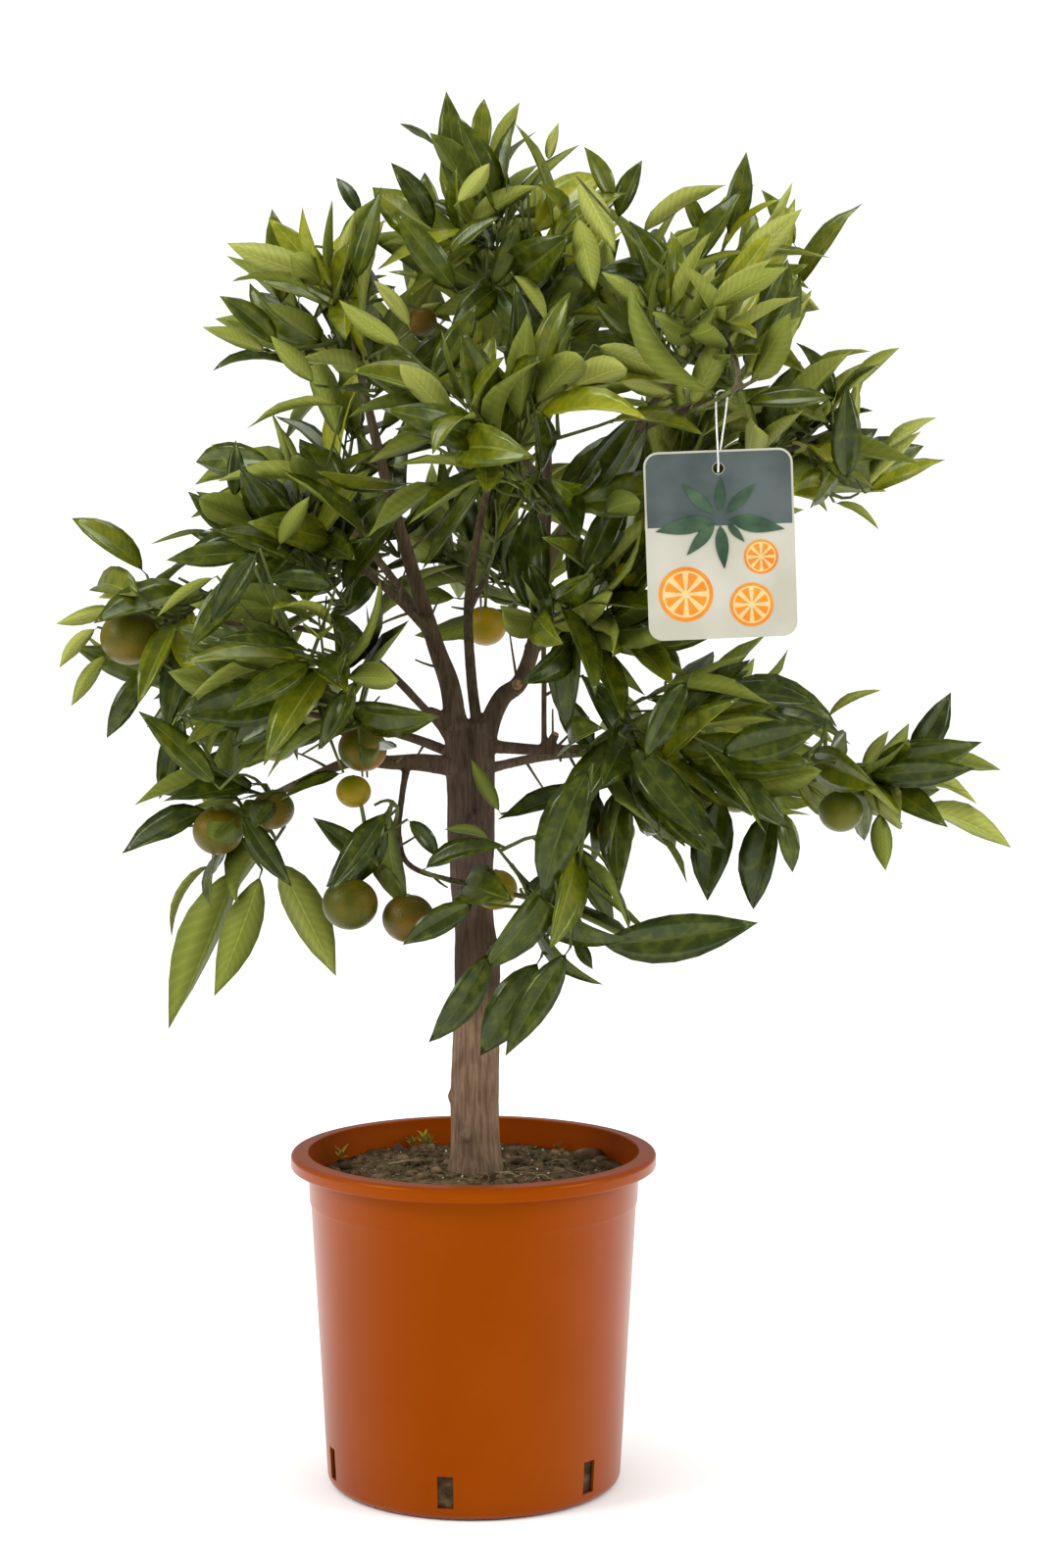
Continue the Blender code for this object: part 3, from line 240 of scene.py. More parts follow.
bpy.context.view_layer.objects.active = slot_boxes[0]
bpy.ops.object.join()
slot_cutter = bpy.context.object
apply_modifier(pot, "BOOLEAN", operation="DIFFERENCE", object=slot_cutter)
bpy.data.objects.remove(slot_cutter)
finish_mesh(pot, 40)
orange_plastic = material("orange_plastic", ORANGE, 0.30, 0.35, (1.00, 0.30, 0.02, 1))
dust = graded(orange_plastic, noise_in_object(orange_plastic, 9, 6), ((0.42, ORANGE), (0.72, ORANGE_DUSTY)))
paint(orange_plastic, dust)
roughen(orange_plastic, noise_in_object(orange_plastic, 900, 2), 0.12, 0.00005)
pot.data.materials.append(orange_plastic)
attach(pot, "root")
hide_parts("pot")


# Soil
# Moist potting mix, poured in to 15 mm under the rim: crumbs and clods of peat, straw fibres, pale grains,
# and moss and a few seedlings on top. It fills the pot and is a little higher at the trunk.
SOIL_EDGE = 0.1855
SOIL_MIDDLE = 0.190
SOIL_MIDDLE_RADIUS = 0.024
SOIL_RADIUS = NECK_RADIUS - POT_WALL - 0.0012
SOIL_RINGS = 48
SOIL_BROWN = (0.078, 0.049, 0.024, 1)
SOIL_DARK = (0.028, 0.017, 0.009, 1)
SOIL_PALE = (0.170, 0.122, 0.068, 1)
MOSS_GREEN = (0.082, 0.085, 0.030, 1)
soil_dice = random.Random(5)


def soil_height(x, y):
    """How high the soil stands at a place: a low mound, then crumbs at three sizes."""
    away = math.hypot(x, y)
    share = min(max((away - SOIL_MIDDLE_RADIUS) / (SOIL_MIDDLE_RADIUS * 1.5), 0), 1)
    level = SOIL_MIDDLE + (SOIL_EDGE - SOIL_MIDDLE) * share
    crumbs = 0.0022 * noise.noise(Vector((x, y, 0)) * 60)
    crumbs += 0.0015 * noise.noise(Vector((x, y, 3)) * 190)
    return level + crumbs + 0.0010 * noise.noise(Vector((x, y, 7)) * 420)


def linked(name, mesh, *made):
    """A new object for a mesh, in the scene, with these materials."""
    for each in made:
        mesh.materials.append(each)
    added = bpy.data.objects.new(name, mesh)
    bpy.context.scene.collection.objects.link(added)
    return added


def piece_of_copies(name, copies, faces, materials, slots=None, places=None):
    """One mesh of many copies of a small shape. Each copy is an array of points."""
    size = len(copies[0])
    whole = [[corner + size * number for corner in face] for number in range(len(copies)) for face in faces]
    mesh = bpy.data.meshes.new(name)
    mesh.from_pydata(np.concatenate(copies).tolist(), [], whole)
    if slots is not None:
        mesh.polygons.foreach_set("material_index", np.tile(slots, len(copies)))
    if places is not None:
        corners = np.array([places[corner] for face in faces for corner in face], np.float32)
        layer = mesh.uv_layers.new(name="blade")
        layer.data.foreach_set("uv", np.tile(corners, (len(copies), 1)).ravel())
    mesh.polygons.foreach_set("use_smooth", np.ones(len(mesh.polygons), bool))
    return linked(name, mesh, *materials)


def ball(subdivisions):
    """Points and faces of a ball of radius 1."""
    shape = bmesh.new()
    bmesh.ops.create_icosphere(shape, subdivisions=subdivisions, radius=1)
    points = np.array([vertex.co for vertex in shape.verts])
    faces = [[vertex.index for vertex in face.verts] for face in shape.faces]
    shape.free()
    return points, faces


def lump(points, place, size, dice):
    """A ball made uneven, flattened a little, and set down at a place."""
    seed = Vector((dice.uniform(0, 50), dice.uniform(0, 50), dice.uniform(0, 50)))
    uneven = np.array([1 + 0.42 * noise.noise(Vector(point) * 1.6 + seed) for point in points])
    squeeze = np.array([dice.uniform(0.8, 1.25), dice.uniform(0.8, 1.25), dice.uniform(0.55, 0.9)])
    turn = np.array(Matrix.Rotation(dice.uniform(0, math.tau), 3, "Z"))
    return (points * uneven[:, None] * squeeze * size) @ turn.T + np.array(place)


def spot_on_soil(dice, inner, outer):
    """A random place on the soil, even over the ring between two radii."""
    away = math.sqrt(dice.uniform(inner * inner, outer * outer))
    turn = dice.uniform(0, math.tau)
    x, y = away * math.cos(turn), away * math.sin(turn)
    return x, y, soil_height(x, y)


def tubes(name, lines, sides):
    """Round closed tubes as one mesh. A line is a list of places and its radius at each of them."""
    curve = bpy.data.curves.new(name, "CURVE")
    curve.dimensions = "3D"
    curve.bevel_depth = 1
    curve.bevel_resolution = (sides - 4) // 2
    curve.use_fill_caps = True
    for route, radii in lines:
        spline = curve.splines.new("POLY")
        spline.points.add(len(route) - 1)
        for point, spot, radius in zip(spline.points, route, radii):
            point.co = (*spot, 1)
            point.radius = radius
    drawn = bpy.data.objects.new(name, curve)
    bpy.context.scene.collection.objects.link(drawn)
    activate(drawn)
    bpy.ops.object.convert(target="MESH")
    made = bpy.context.object
    bpy.ops.object.mode_set(mode="EDIT")
    bpy.ops.mesh.select_all(action="SELECT")
    bpy.ops.mesh.remove_doubles(threshold=0.000002)
    bpy.ops.mesh.normals_make_consistent(inside=False)
    bpy.ops.object.mode_set(mode="OBJECT")
    bpy.ops.object.shade_smooth()
    return made


soil_profile = [
    (0.0015 + (SOIL_RADIUS - 0.0015) * ring / SOIL_RINGS, SOIL_MIDDLE) for ring in range(SOIL_RINGS + 1)
]
soil_profile += [
    (NECK_RADIUS - POT_WALL - 0.0030, 0.160),
    (FOOT_RADIUS - POT_WALL - 0.0008, FOOT_ROUNDING + POT_WALL),
    (FOOT_RADIUS - FOOT_ROUNDING - 0.0015, POT_FLOOR + 0.0004),
    (0.002, POT_FLOOR + 0.0004),
]
soil = turned("soil_bed", soil_profile, 144)
for vertex in soil.data.vertices:
    if vertex.co.z > SOIL_EDGE - 0.001:
        vertex.co.z = soil_height(vertex.co.x, vertex.co.y)
finish_mesh(soil, 180)
potting_soil = material("potting_soil", SOIL_BROWN, 0.93, 0.1)
soil_tints = graded(potting_soil, noise_in_object(potting_soil, 150, 7), (
    (0.30, SOIL_DARK), (0.52, SOIL_BROWN), (0.74, SOIL_PALE),
))
moss_patches = graded(potting_soil, noise_in_object(potting_soil, 34, 4), (
    (0.55, (0, 0, 0, 1)), (0.68, (0.40, 0.40, 0.40, 1)),
))
paint(potting_soil, blended(potting_soil, moss_patches, soil_tints, MOSS_GREEN))
roughen(potting_soil, noise_in_object(potting_soil, 420, 6), 0.9, 0.0012)
soil.data.materials.append(potting_soil)
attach(soil, "root")
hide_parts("soil")

clod_ball = ball(2)
clods = [lump(clod_ball[0], (0.070, 0.052, soil_height(0.070, 0.052) - 0.001), 0.0080, soil_dice)]
for _ in range(420):
    size = 0.0008 + 0.0034 * soil_dice.random() ** 3
    x, y, height = spot_on_soil(soil_dice, 0.019, SOIL_RADIUS - 0.006)
    clods.append(lump(clod_ball[0], (x, y, height + size * 0.25), size, soil_dice))
crumbled_soil = material("crumbled_soil", SOIL_BROWN, 0.95, 0.1)
crumb_tints = graded(crumbled_soil, noise_in_object(crumbled_soil, 60, 5), (
    (0.34, SOIL_DARK), (0.52, SOIL_BROWN), (0.66, SOIL_PALE),
))
paint(crumbled_soil, crumb_tints)
roughen(crumbled_soil, noise_in_object(crumbled_soil, 700, 5), 0.8, 0.0008)
clod_piece = piece_of_copies("soil_clods", clods, clod_ball[1], [crumbled_soil])
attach(clod_piece, "root")

grain_ball = ball(1)
grains = []
for _ in range(80):
    size = soil_dice.uniform(0.0004, 0.0011)
    x, y, height = spot_on_soil(soil_dice, 0.019, SOIL_RADIUS - 0.004)
    grains.append(lump(grain_ball[0], (x, y, height + size * 0.3), size, soil_dice))
pale_grain = material("pale_grain", (0.620, 0.580, 0.500, 1), 0.8)
paint(pale_grain, graded(pale_grain, noise_in_object(pale_grain, 90, 2), (
    (0.35, (0.260, 0.210, 0.140, 1)), (0.60, (0.560, 0.520, 0.440, 1)),
)))
grain_piece = piece_of_copies("soil_grains", grains, grain_ball[1], [pale_grain])
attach(grain_piece, "root")

MOSS_TUFTS = 900
tufts = []
for _ in range(MOSS_TUFTS):
    x, y, height = spot_on_soil(soil_dice, 0.018, SOIL_RADIUS - 0.003)
    if noise.noise(Vector((x, y, 11)) * 45) > 0.02:
        size = soil_dice.uniform(0.0005, 0.0014)
        tufts.append(lump(grain_ball[0], (x, y, height + size * 0.4), size, soil_dice))
moss = material("moss", MOSS_GREEN, 0.95, 0.1)
paint(moss, graded(moss, noise_in_object(moss, 130, 4), (
    (0.36, (0.046, 0.044, 0.016, 1)), (0.52, MOSS_GREEN), (0.66, (0.150, 0.148, 0.070, 1)),
)))
moss_piece = piece_of_copies("soil_moss", tufts, grain_ball[1], [moss])
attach(moss_piece, "root")

fibres = []
for _ in range(110):
    x, y, height = spot_on_soil(soil_dice, 0.020, SOIL_RADIUS - 0.014)
    turn = soil_dice.uniform(0, math.tau)
    half = soil_dice.uniform(0.003, 0.010)
    bend = soil_dice.uniform(-0.4, 0.4)
    route = []
    for share in (-1, -0.4, 0.2, 1):
        along = turn + bend * share
        spot = Vector((x + half * share * math.cos(along), y + half * share * math.sin(along), 0))
        spot.z = soil_height(spot.x, spot.y) + 0.0008 + 0.0012 * (1 - share * share)
        route.append(spot)
    thickness = soil_dice.uniform(0.00012, 0.00030)
    fibres.append((route, [thickness, thickness, thickness, thickness * 0.6]))
fibres.append((
    [Vector((-0.052, 0.018, 0.189)), Vector((-0.040, 0.023, 0.190)), Vector((-0.026, 0.022, 0.190))],
    [0.0009, 0.0011, 0.0008],
))
straw = material("straw", (0.160, 0.105, 0.055, 1), 0.8)
paint(straw, graded(straw, noise_in_object(straw, 30, 3), (
    (0.36, (0.060, 0.038, 0.020, 1)), (0.66, (0.300, 0.215, 0.115, 1)),
)))
fibre_piece = tubes("soil_fibres", fibres, 4)
fibre_piece.data.materials.append(straw)
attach(fibre_piece, "root")


# Trunk and boughs
# Living wood in its bark: one short trunk, cut off flat by the soil, with an old graft at its kink, parted in
# two stems, and the boughs that go on from them. All of it is grown as one skin, finely ridged along.
TRUNK_STATIONS = (
    (0.0010, 0.1885, 0.0176), (0.0010, 0.1950, 0.0163), (0.0010, 0.2020, 0.0151), (0.0009, 0.2150, 0.0146),
    (0.0006, 0.2320, 0.0147), (0.0012, 0.2550, 0.0143), (0.0019, 0.2850, 0.0138), (0.0024, 0.3060, 0.0136),
    (0.0021, 0.3210, 0.0135), (0.0006, 0.3380, 0.0121), (-0.0006, 0.3560, 0.0124), (-0.0010, 0.3760, 0.0132),
    (-0.0010, 0.3950, 0.0118), (-0.0010, 0.4060, 0.0070),
)
LEFT_STEM_STATIONS = (
    (-0.0040, 0.3640, 0.0084), (-0.0066, 0.3900, 0.0088), (-0.0074, 0.4190, 0.0085),
    (-0.0085, 0.4410, 0.0082), (-0.0103, 0.4600, 0.0074),
)
RIGHT_STEM_STATIONS = (
    (0.0040, 0.3640, 0.0072), (0.0062, 0.3900, 0.0068), (0.0066, 0.4190, 0.0064),
    (0.0062, 0.4410, 0.0068), (0.0058, 0.4600, 0.0076),
)
BOUGHS = {
    "crown_top": (0.0062, 0.0024, (
        (0.0070, 0, 0.4540), (0.0172, 0, 0.4746), (0.0288, 0, 0.4857), (0.0385, 0, 0.5200),
        (0.0430, 0, 0.5860), (0.0427, -0.003, 0.6490), (0.0370, -0.006, 0.7000),
    )),
    "upper_left": (0.0070, 0.0026, (
        (-0.0101, 0, 0.4560), (-0.0137, 0, 0.4816), (-0.0218, -0.002, 0.5050), (-0.0340, -0.006, 0.5450),
        (-0.0500, -0.009, 0.6000), (-0.0620, -0.010, 0.6500),
    )),
    "back_top": (0.0036, 0.0022, (
        (0.0030, 0.002, 0.4540), (-0.0010, 0.008, 0.4850), (-0.0030, 0.025, 0.5300),
        (0.0040, 0.050, 0.5800), (0.0180, 0.080, 0.6350),
    )),
    "upper_right": (0.0034, 0.0024, (
        (0.0400, 0, 0.5450), (0.0620, 0, 0.5900), (0.0920, 0, 0.6300), (0.1120, 0, 0.6550),
    )),
    "right_shoulder": (0.0030, 0.0022, (
        (0.0330, 0, 0.5030), (0.0700, -0.004, 0.5400), (0.1150, -0.012, 0.5750), (0.1500, -0.018, 0.6000),
    )),
    "centre_front": (0.0026, 0.0020, (
        (0.0430, -0.002, 0.6000), (0.0380, -0.035, 0.6070), (0.0280, -0.078, 0.6180),
    )),
    "left_shoulder": (0.0028, 0.0020, (
        (-0.0240, -0.003, 0.5120), (-0.0450, -0.020, 0.5350), (-0.0680, -0.040, 0.5570),
    )),
    "far_left": (0.0028, 0.0018, (
        (-0.0140, 0, 0.4510), (-0.0269, -0.010, 0.4672), (-0.0622, -0.020, 0.5020),
        (-0.1041, -0.030, 0.5181), (-0.1700, -0.031, 0.5210),
    )),
    "lower_left": (0.0062, 0.0025, (
        (-0.0070, 0, 0.4330), (-0.0304, -0.010, 0.4369), (-0.0475, -0.020, 0.4378),
        (-0.0720, -0.032, 0.4390), (-0.1050, -0.043, 0.4260),
    )),
    "left_front": (0.0024, 0.0018, (
        (-0.0620, -0.028, 0.4400), (-0.0720, -0.052, 0.4550), (-0.0820, -0.074, 0.4700),
    )),
    "hanging": (0.0022, 0.0016, (
        (-0.0388, -0.015, 0.4360), (-0.0415, -0.028, 0.4180), (-0.0427, -0.043, 0.3960),
        (-0.0340, -0.052, 0.3790), (0.0020, -0.062, 0.3700),
    )),
    "inner_left": (0.0018, 0.0016, (
        (-0.0427, -0.043, 0.3950), (-0.0460, -0.056, 0.3900), (-0.0490, -0.067, 0.3840),
    )),
    "far_right": (0.0038, 0.0020, (
        (0.0070, 0, 0.4460), (0.0364, -0.010, 0.4445), (0.0601, -0.020, 0.4448), (0.0907, -0.034, 0.4413),
        (0.1400, -0.040, 0.4370), (0.1930, -0.035, 0.4350),
    )),
    "right_front": (0.0018, 0.0016, (
        (0.0422, -0.012, 0.4440), (0.0421, -0.015, 0.4803), (0.0432, -0.030, 0.5181), (0.0560, -0.060, 0.5300),
    )),
    "right_low": (0.0020, 0.0018, (
        (0.0850, -0.031, 0.4420), (0.0940, -0.050, 0.4400), (0.1020, -0.060, 0.4380),
    )),
    "front_right": (0.0025, 0.0019, (
        (0.0920, 0, 0.6300), (0.1080, -0.050, 0.6380), (0.1260, -0.105, 0.6450),
        (0.1380, -0.150, 0.6500), (0.1430, -0.168, 0.6530),
    )),
    "back_left": (0.0032, 0.0022, (
        (-0.0220, -0.002, 0.5050), (-0.0420, 0.032, 0.5350), (-0.0800, 0.082, 0.5800),
    )),
    "back_right": (0.0032, 0.0022, (
        (0.0330, 0, 0.5000), (0.0660, 0.035, 0.5300), (0.1200, 0.085, 0.5680),
    )),
    "back_low_left": (0.0034, 0.0022, (
        (-0.0090, 0.003, 0.4400), (-0.0450, 0.035, 0.4500), (-0.1050, 0.074, 0.4600),
    )),
    "back_low_right": (0.0032, 0.0022, (
        (0.0070, 0.002, 0.4320), (0.0500, 0.038, 0.4370), (0.1220, 0.084, 0.4370),
    )),
    "back_middle": (0.0024, 0.0018, (
        (-0.0030, 0.022, 0.5250), (0.0020, 0.060, 0.5350), (0.0060, 0.086, 0.5420),
    )),
}
# Stubs left by pruning, each with its foot, its cut end and its radius
STUBS = (
    ((0.0240, 0, 0.4800), (0.0262, -0.0090, 0.4830), 0.0042),
    ((-0.0137, 0, 0.4600), (-0.0270, -0.0060, 0.4665), 0.0040),
    ((0.0440, -0.013, 0.4450), (0.0490, -0.0170, 0.4545), 0.0026),
    ((0.0036, 0, 0.3260), (0.0175, -0.0040, 0.3240), 0.0046),
)
# Knots: a place on the bark, how far it spreads, and how far it stands out
KNOTS = (
    ((-0.0045, -0.0140, 0.2125), 0.0050, 0.0018), ((-0.0140, -0.0040, 0.2350), 0.0060, 0.0020),
    ((0.0120, -0.0080, 0.3230), 0.0080, 0.0016), ((-0.0120, -0.0060, 0.3420), 0.0070, 0.0012),
)
BARK_VOXEL = 0.00095
COLLAR_LENGTH = 0.014
BARK_GREY = (0.176, 0.113, 0.073, 1)
# The next colour is painted shade: the bark darkened as in the shadow of the leaves that hang over the graft.
BARK_PAINTED_SHADE = (0.050, 0.032, 0.020, 1)
BARK_PURPLE = (0.082, 0.055, 0.041, 1)
BARK_YOUNG = (0.070, 0.050, 0.029, 1)


def smooth_route(points, steps):
    """Points along one smooth curve through the given ones, with this many steps between each two."""
    points = [Vector(point) for point in points]
    guide = [2 * points[0] - points[1], *points, 2 * points[-1] - points[-2]]
    route = []
    for before, start, end, after in zip(guide, guide[1:], guide[2:], guide[3:]):
        for step in range(steps):
            t = step / steps
            route.append(0.5 * (
                2 * start
                + (end - before) * t
                + (2 * before - 5 * start + 4 * end - after) * t * t
                + (3 * start - before - 3 * end + after) * t * t * t
            ))
    return route + [points[-1]]


def even_radii(first, last, count):
    return [first + (last - first) * step / (count - 1) for step in range(count)]


limb_lines = []
for stations in (TRUNK_STATIONS, LEFT_STEM_STATIONS, RIGHT_STEM_STATIONS):
    route = smooth_route([(x, 0, z) for x, z, _ in stations], 3)
    widths = smooth_route([(radius, 0, 0) for _, _, radius in stations], 3)
    limb_lines.append((route, [width.x for width in widths]))
for foot, tip, places in BOUGHS.values():
    route = smooth_route(places, 8)
    radii = even_radii(foot, tip, len(route))
    gone = 0
    for number, (before, spot) in enumerate(zip(route, route[1:])):
        collar = max(1 - gone / COLLAR_LENGTH, 0)
        radii[number] *= 1 + 0.35 * collar * collar
        gone += (spot - before).length
    limb_lines.append((route, radii))
for foot, end, radius in STUBS:
    limb_lines.append(([Vector(foot), Vector(end)], [radius * 1.2, radius]))
bark = tubes("bark_skin", limb_lines, 16)
apply_modifier(bark, "REMESH", mode="VOXEL", voxel_size=BARK_VOXEL)
apply_modifier(bark, "SMOOTH", factor=0.5, iterations=3)
outward = [vertex.normal.copy() for vertex in bark.data.vertices]
for vertex, normal in zip(bark.data.vertices, outward):
    x, y, z = vertex.co
    ridged = 1 if math.hypot(x, y) < 0.026 and z < 0.470 else 0.35
    rise = 0.00013 * noise.noise(Vector((x * 520, y * 520, z * 110)))
    rise += 0.00012 * noise.noise(Vector((x * 1100, y * 1100, z * 300)))
    rise += 0.00040 * noise.noise(Vector((x * 60, y * 60, z * 40)))
    rise *= ridged
    for place, spread, height in KNOTS:
        near = 1 - (vertex.co - Vector(place)).length_squared / (spread * spread)
        if near > 0:
            rise += height * near * near
    vertex.co += normal * rise
finish_mesh(bark, 180)
bark_material = material("bark", BARK_GREY, 0.85, 0.10)
bark_places = add_node(bark_material, "ShaderNodeTexCoord")
bark_axes = add_node(bark_material, "ShaderNodeSeparateXYZ")
bark_links = bark_material.node_tree.links
bark_links.new(bark_places.outputs["Object"], bark_axes.inputs["Vector"])
wander = add_node(bark_material, "ShaderNodeMath", operation="MULTIPLY_ADD")
bark_links.new(noise_in_object(bark_material, 70, 4), wander.inputs[0])
wander.inputs[1].default_value = 0.030
bark_links.new(bark_axes.outputs["Z"], wander.inputs[2])
up_the_trunk = add_node(bark_material, "ShaderNodeMapRange")
up_the_trunk.inputs["From Min"].default_value = 0.20
up_the_trunk.inputs["From Max"].default_value = 0.50
bark_links.new(wander.outputs["Value"], up_the_trunk.inputs["Value"])
# Up the trunk the bark goes from grey-brown to purple-brown and then young brown. The dark band just above the graft,
# about 0.32 to 0.35 m high, is painted shade of the leaves over it.
trunk_tint_and_shade = graded(bark_material, up_the_trunk.outputs["Result"], (
    (0.00, (0.135, 0.090, 0.058, 1)), (0.10, BARK_GREY), (0.31, BARK_GREY), (0.40, BARK_PAINTED_SHADE),
    (0.50, BARK_PAINTED_SHADE), (0.58, BARK_PURPLE), (0.80, BARK_PURPLE), (1.00, BARK_YOUNG),
))
streaks = graded(bark_material, noise_in_object(bark_material, 620, 6, (1, 1, 0.09)), (
    (0.34, (0.66, 0.63, 0.60, 1)), (0.50, (0.98, 0.97, 0.96, 1)), (0.66, (1.30, 1.28, 1.22, 1)),
))
clouds = graded(bark_material, noise_in_object(bark_material, 95, 5, (1, 1, 0.6)), (
    (0.36, (0.82, 0.80, 0.78, 1)), (0.64, (1.16, 1.17, 1.16, 1)),
))
flat_places = add_node(bark_material, "ShaderNodeVectorMath", operation="MULTIPLY")
flat_places.inputs[1].default_value = (1, 1, 0)
bark_links.new(bark_places.outputs["Object"], flat_places.inputs[0])
from_axis = add_node(bark_material, "ShaderNodeVectorMath", operation="LENGTH")
bark_links.new(flat_places.outputs["Vector"], from_axis.inputs[0])
out_on_bough = add_node(bark_material, "ShaderNodeMapRange")
out_on_bough.inputs["From Min"].default_value = 0.020
out_on_bough.inputs["From Max"].default_value = 0.050
bark_links.new(from_axis.outputs["Value"], out_on_bough.inputs["Value"])
limb_tint = blended(bark_material, out_on_bough.outputs["Result"], trunk_tint_and_shade, BARK_YOUNG)
streaked = blended(bark_material, 1.0, limb_tint, streaks, "MULTIPLY")
paint(bark_material, blended(bark_material, 1.0, streaked, clouds, "MULTIPLY"))
roughen(bark_material, noise_in_object(bark_material, 900, 5, (1, 1, 0.25)), 0.55, 0.0003)
bark.data.materials.append(bark_material)
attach(bark, "root")
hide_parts("trunk", *("bough_" + name for name in BOUGHS))

scar_lines = []
for foot, end, radius in STUBS[:3]:
    heading = (Vector(end) - Vector(foot)).normalized()
    scar_lines.append(([Vector(end) - heading * 0.0004, Vector(end) + heading * 0.0003], [radius * 0.8, radius * 0.75]))
scars = tubes("pruning_scars", scar_lines, 16)
finish_mesh(scars, 30)
cut_wood = material("cut_wood", (0.190, 0.115, 0.055, 1), 0.8)
paint(cut_wood, graded(cut_wood, noise_in_object(cut_wood, 420, 3), (
    (0.38, (0.120, 0.068, 0.032, 1)), (0.62, (0.330, 0.190, 0.070, 1)),
)))
scars.data.materials.append(cut_wood)
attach(scars, "root")


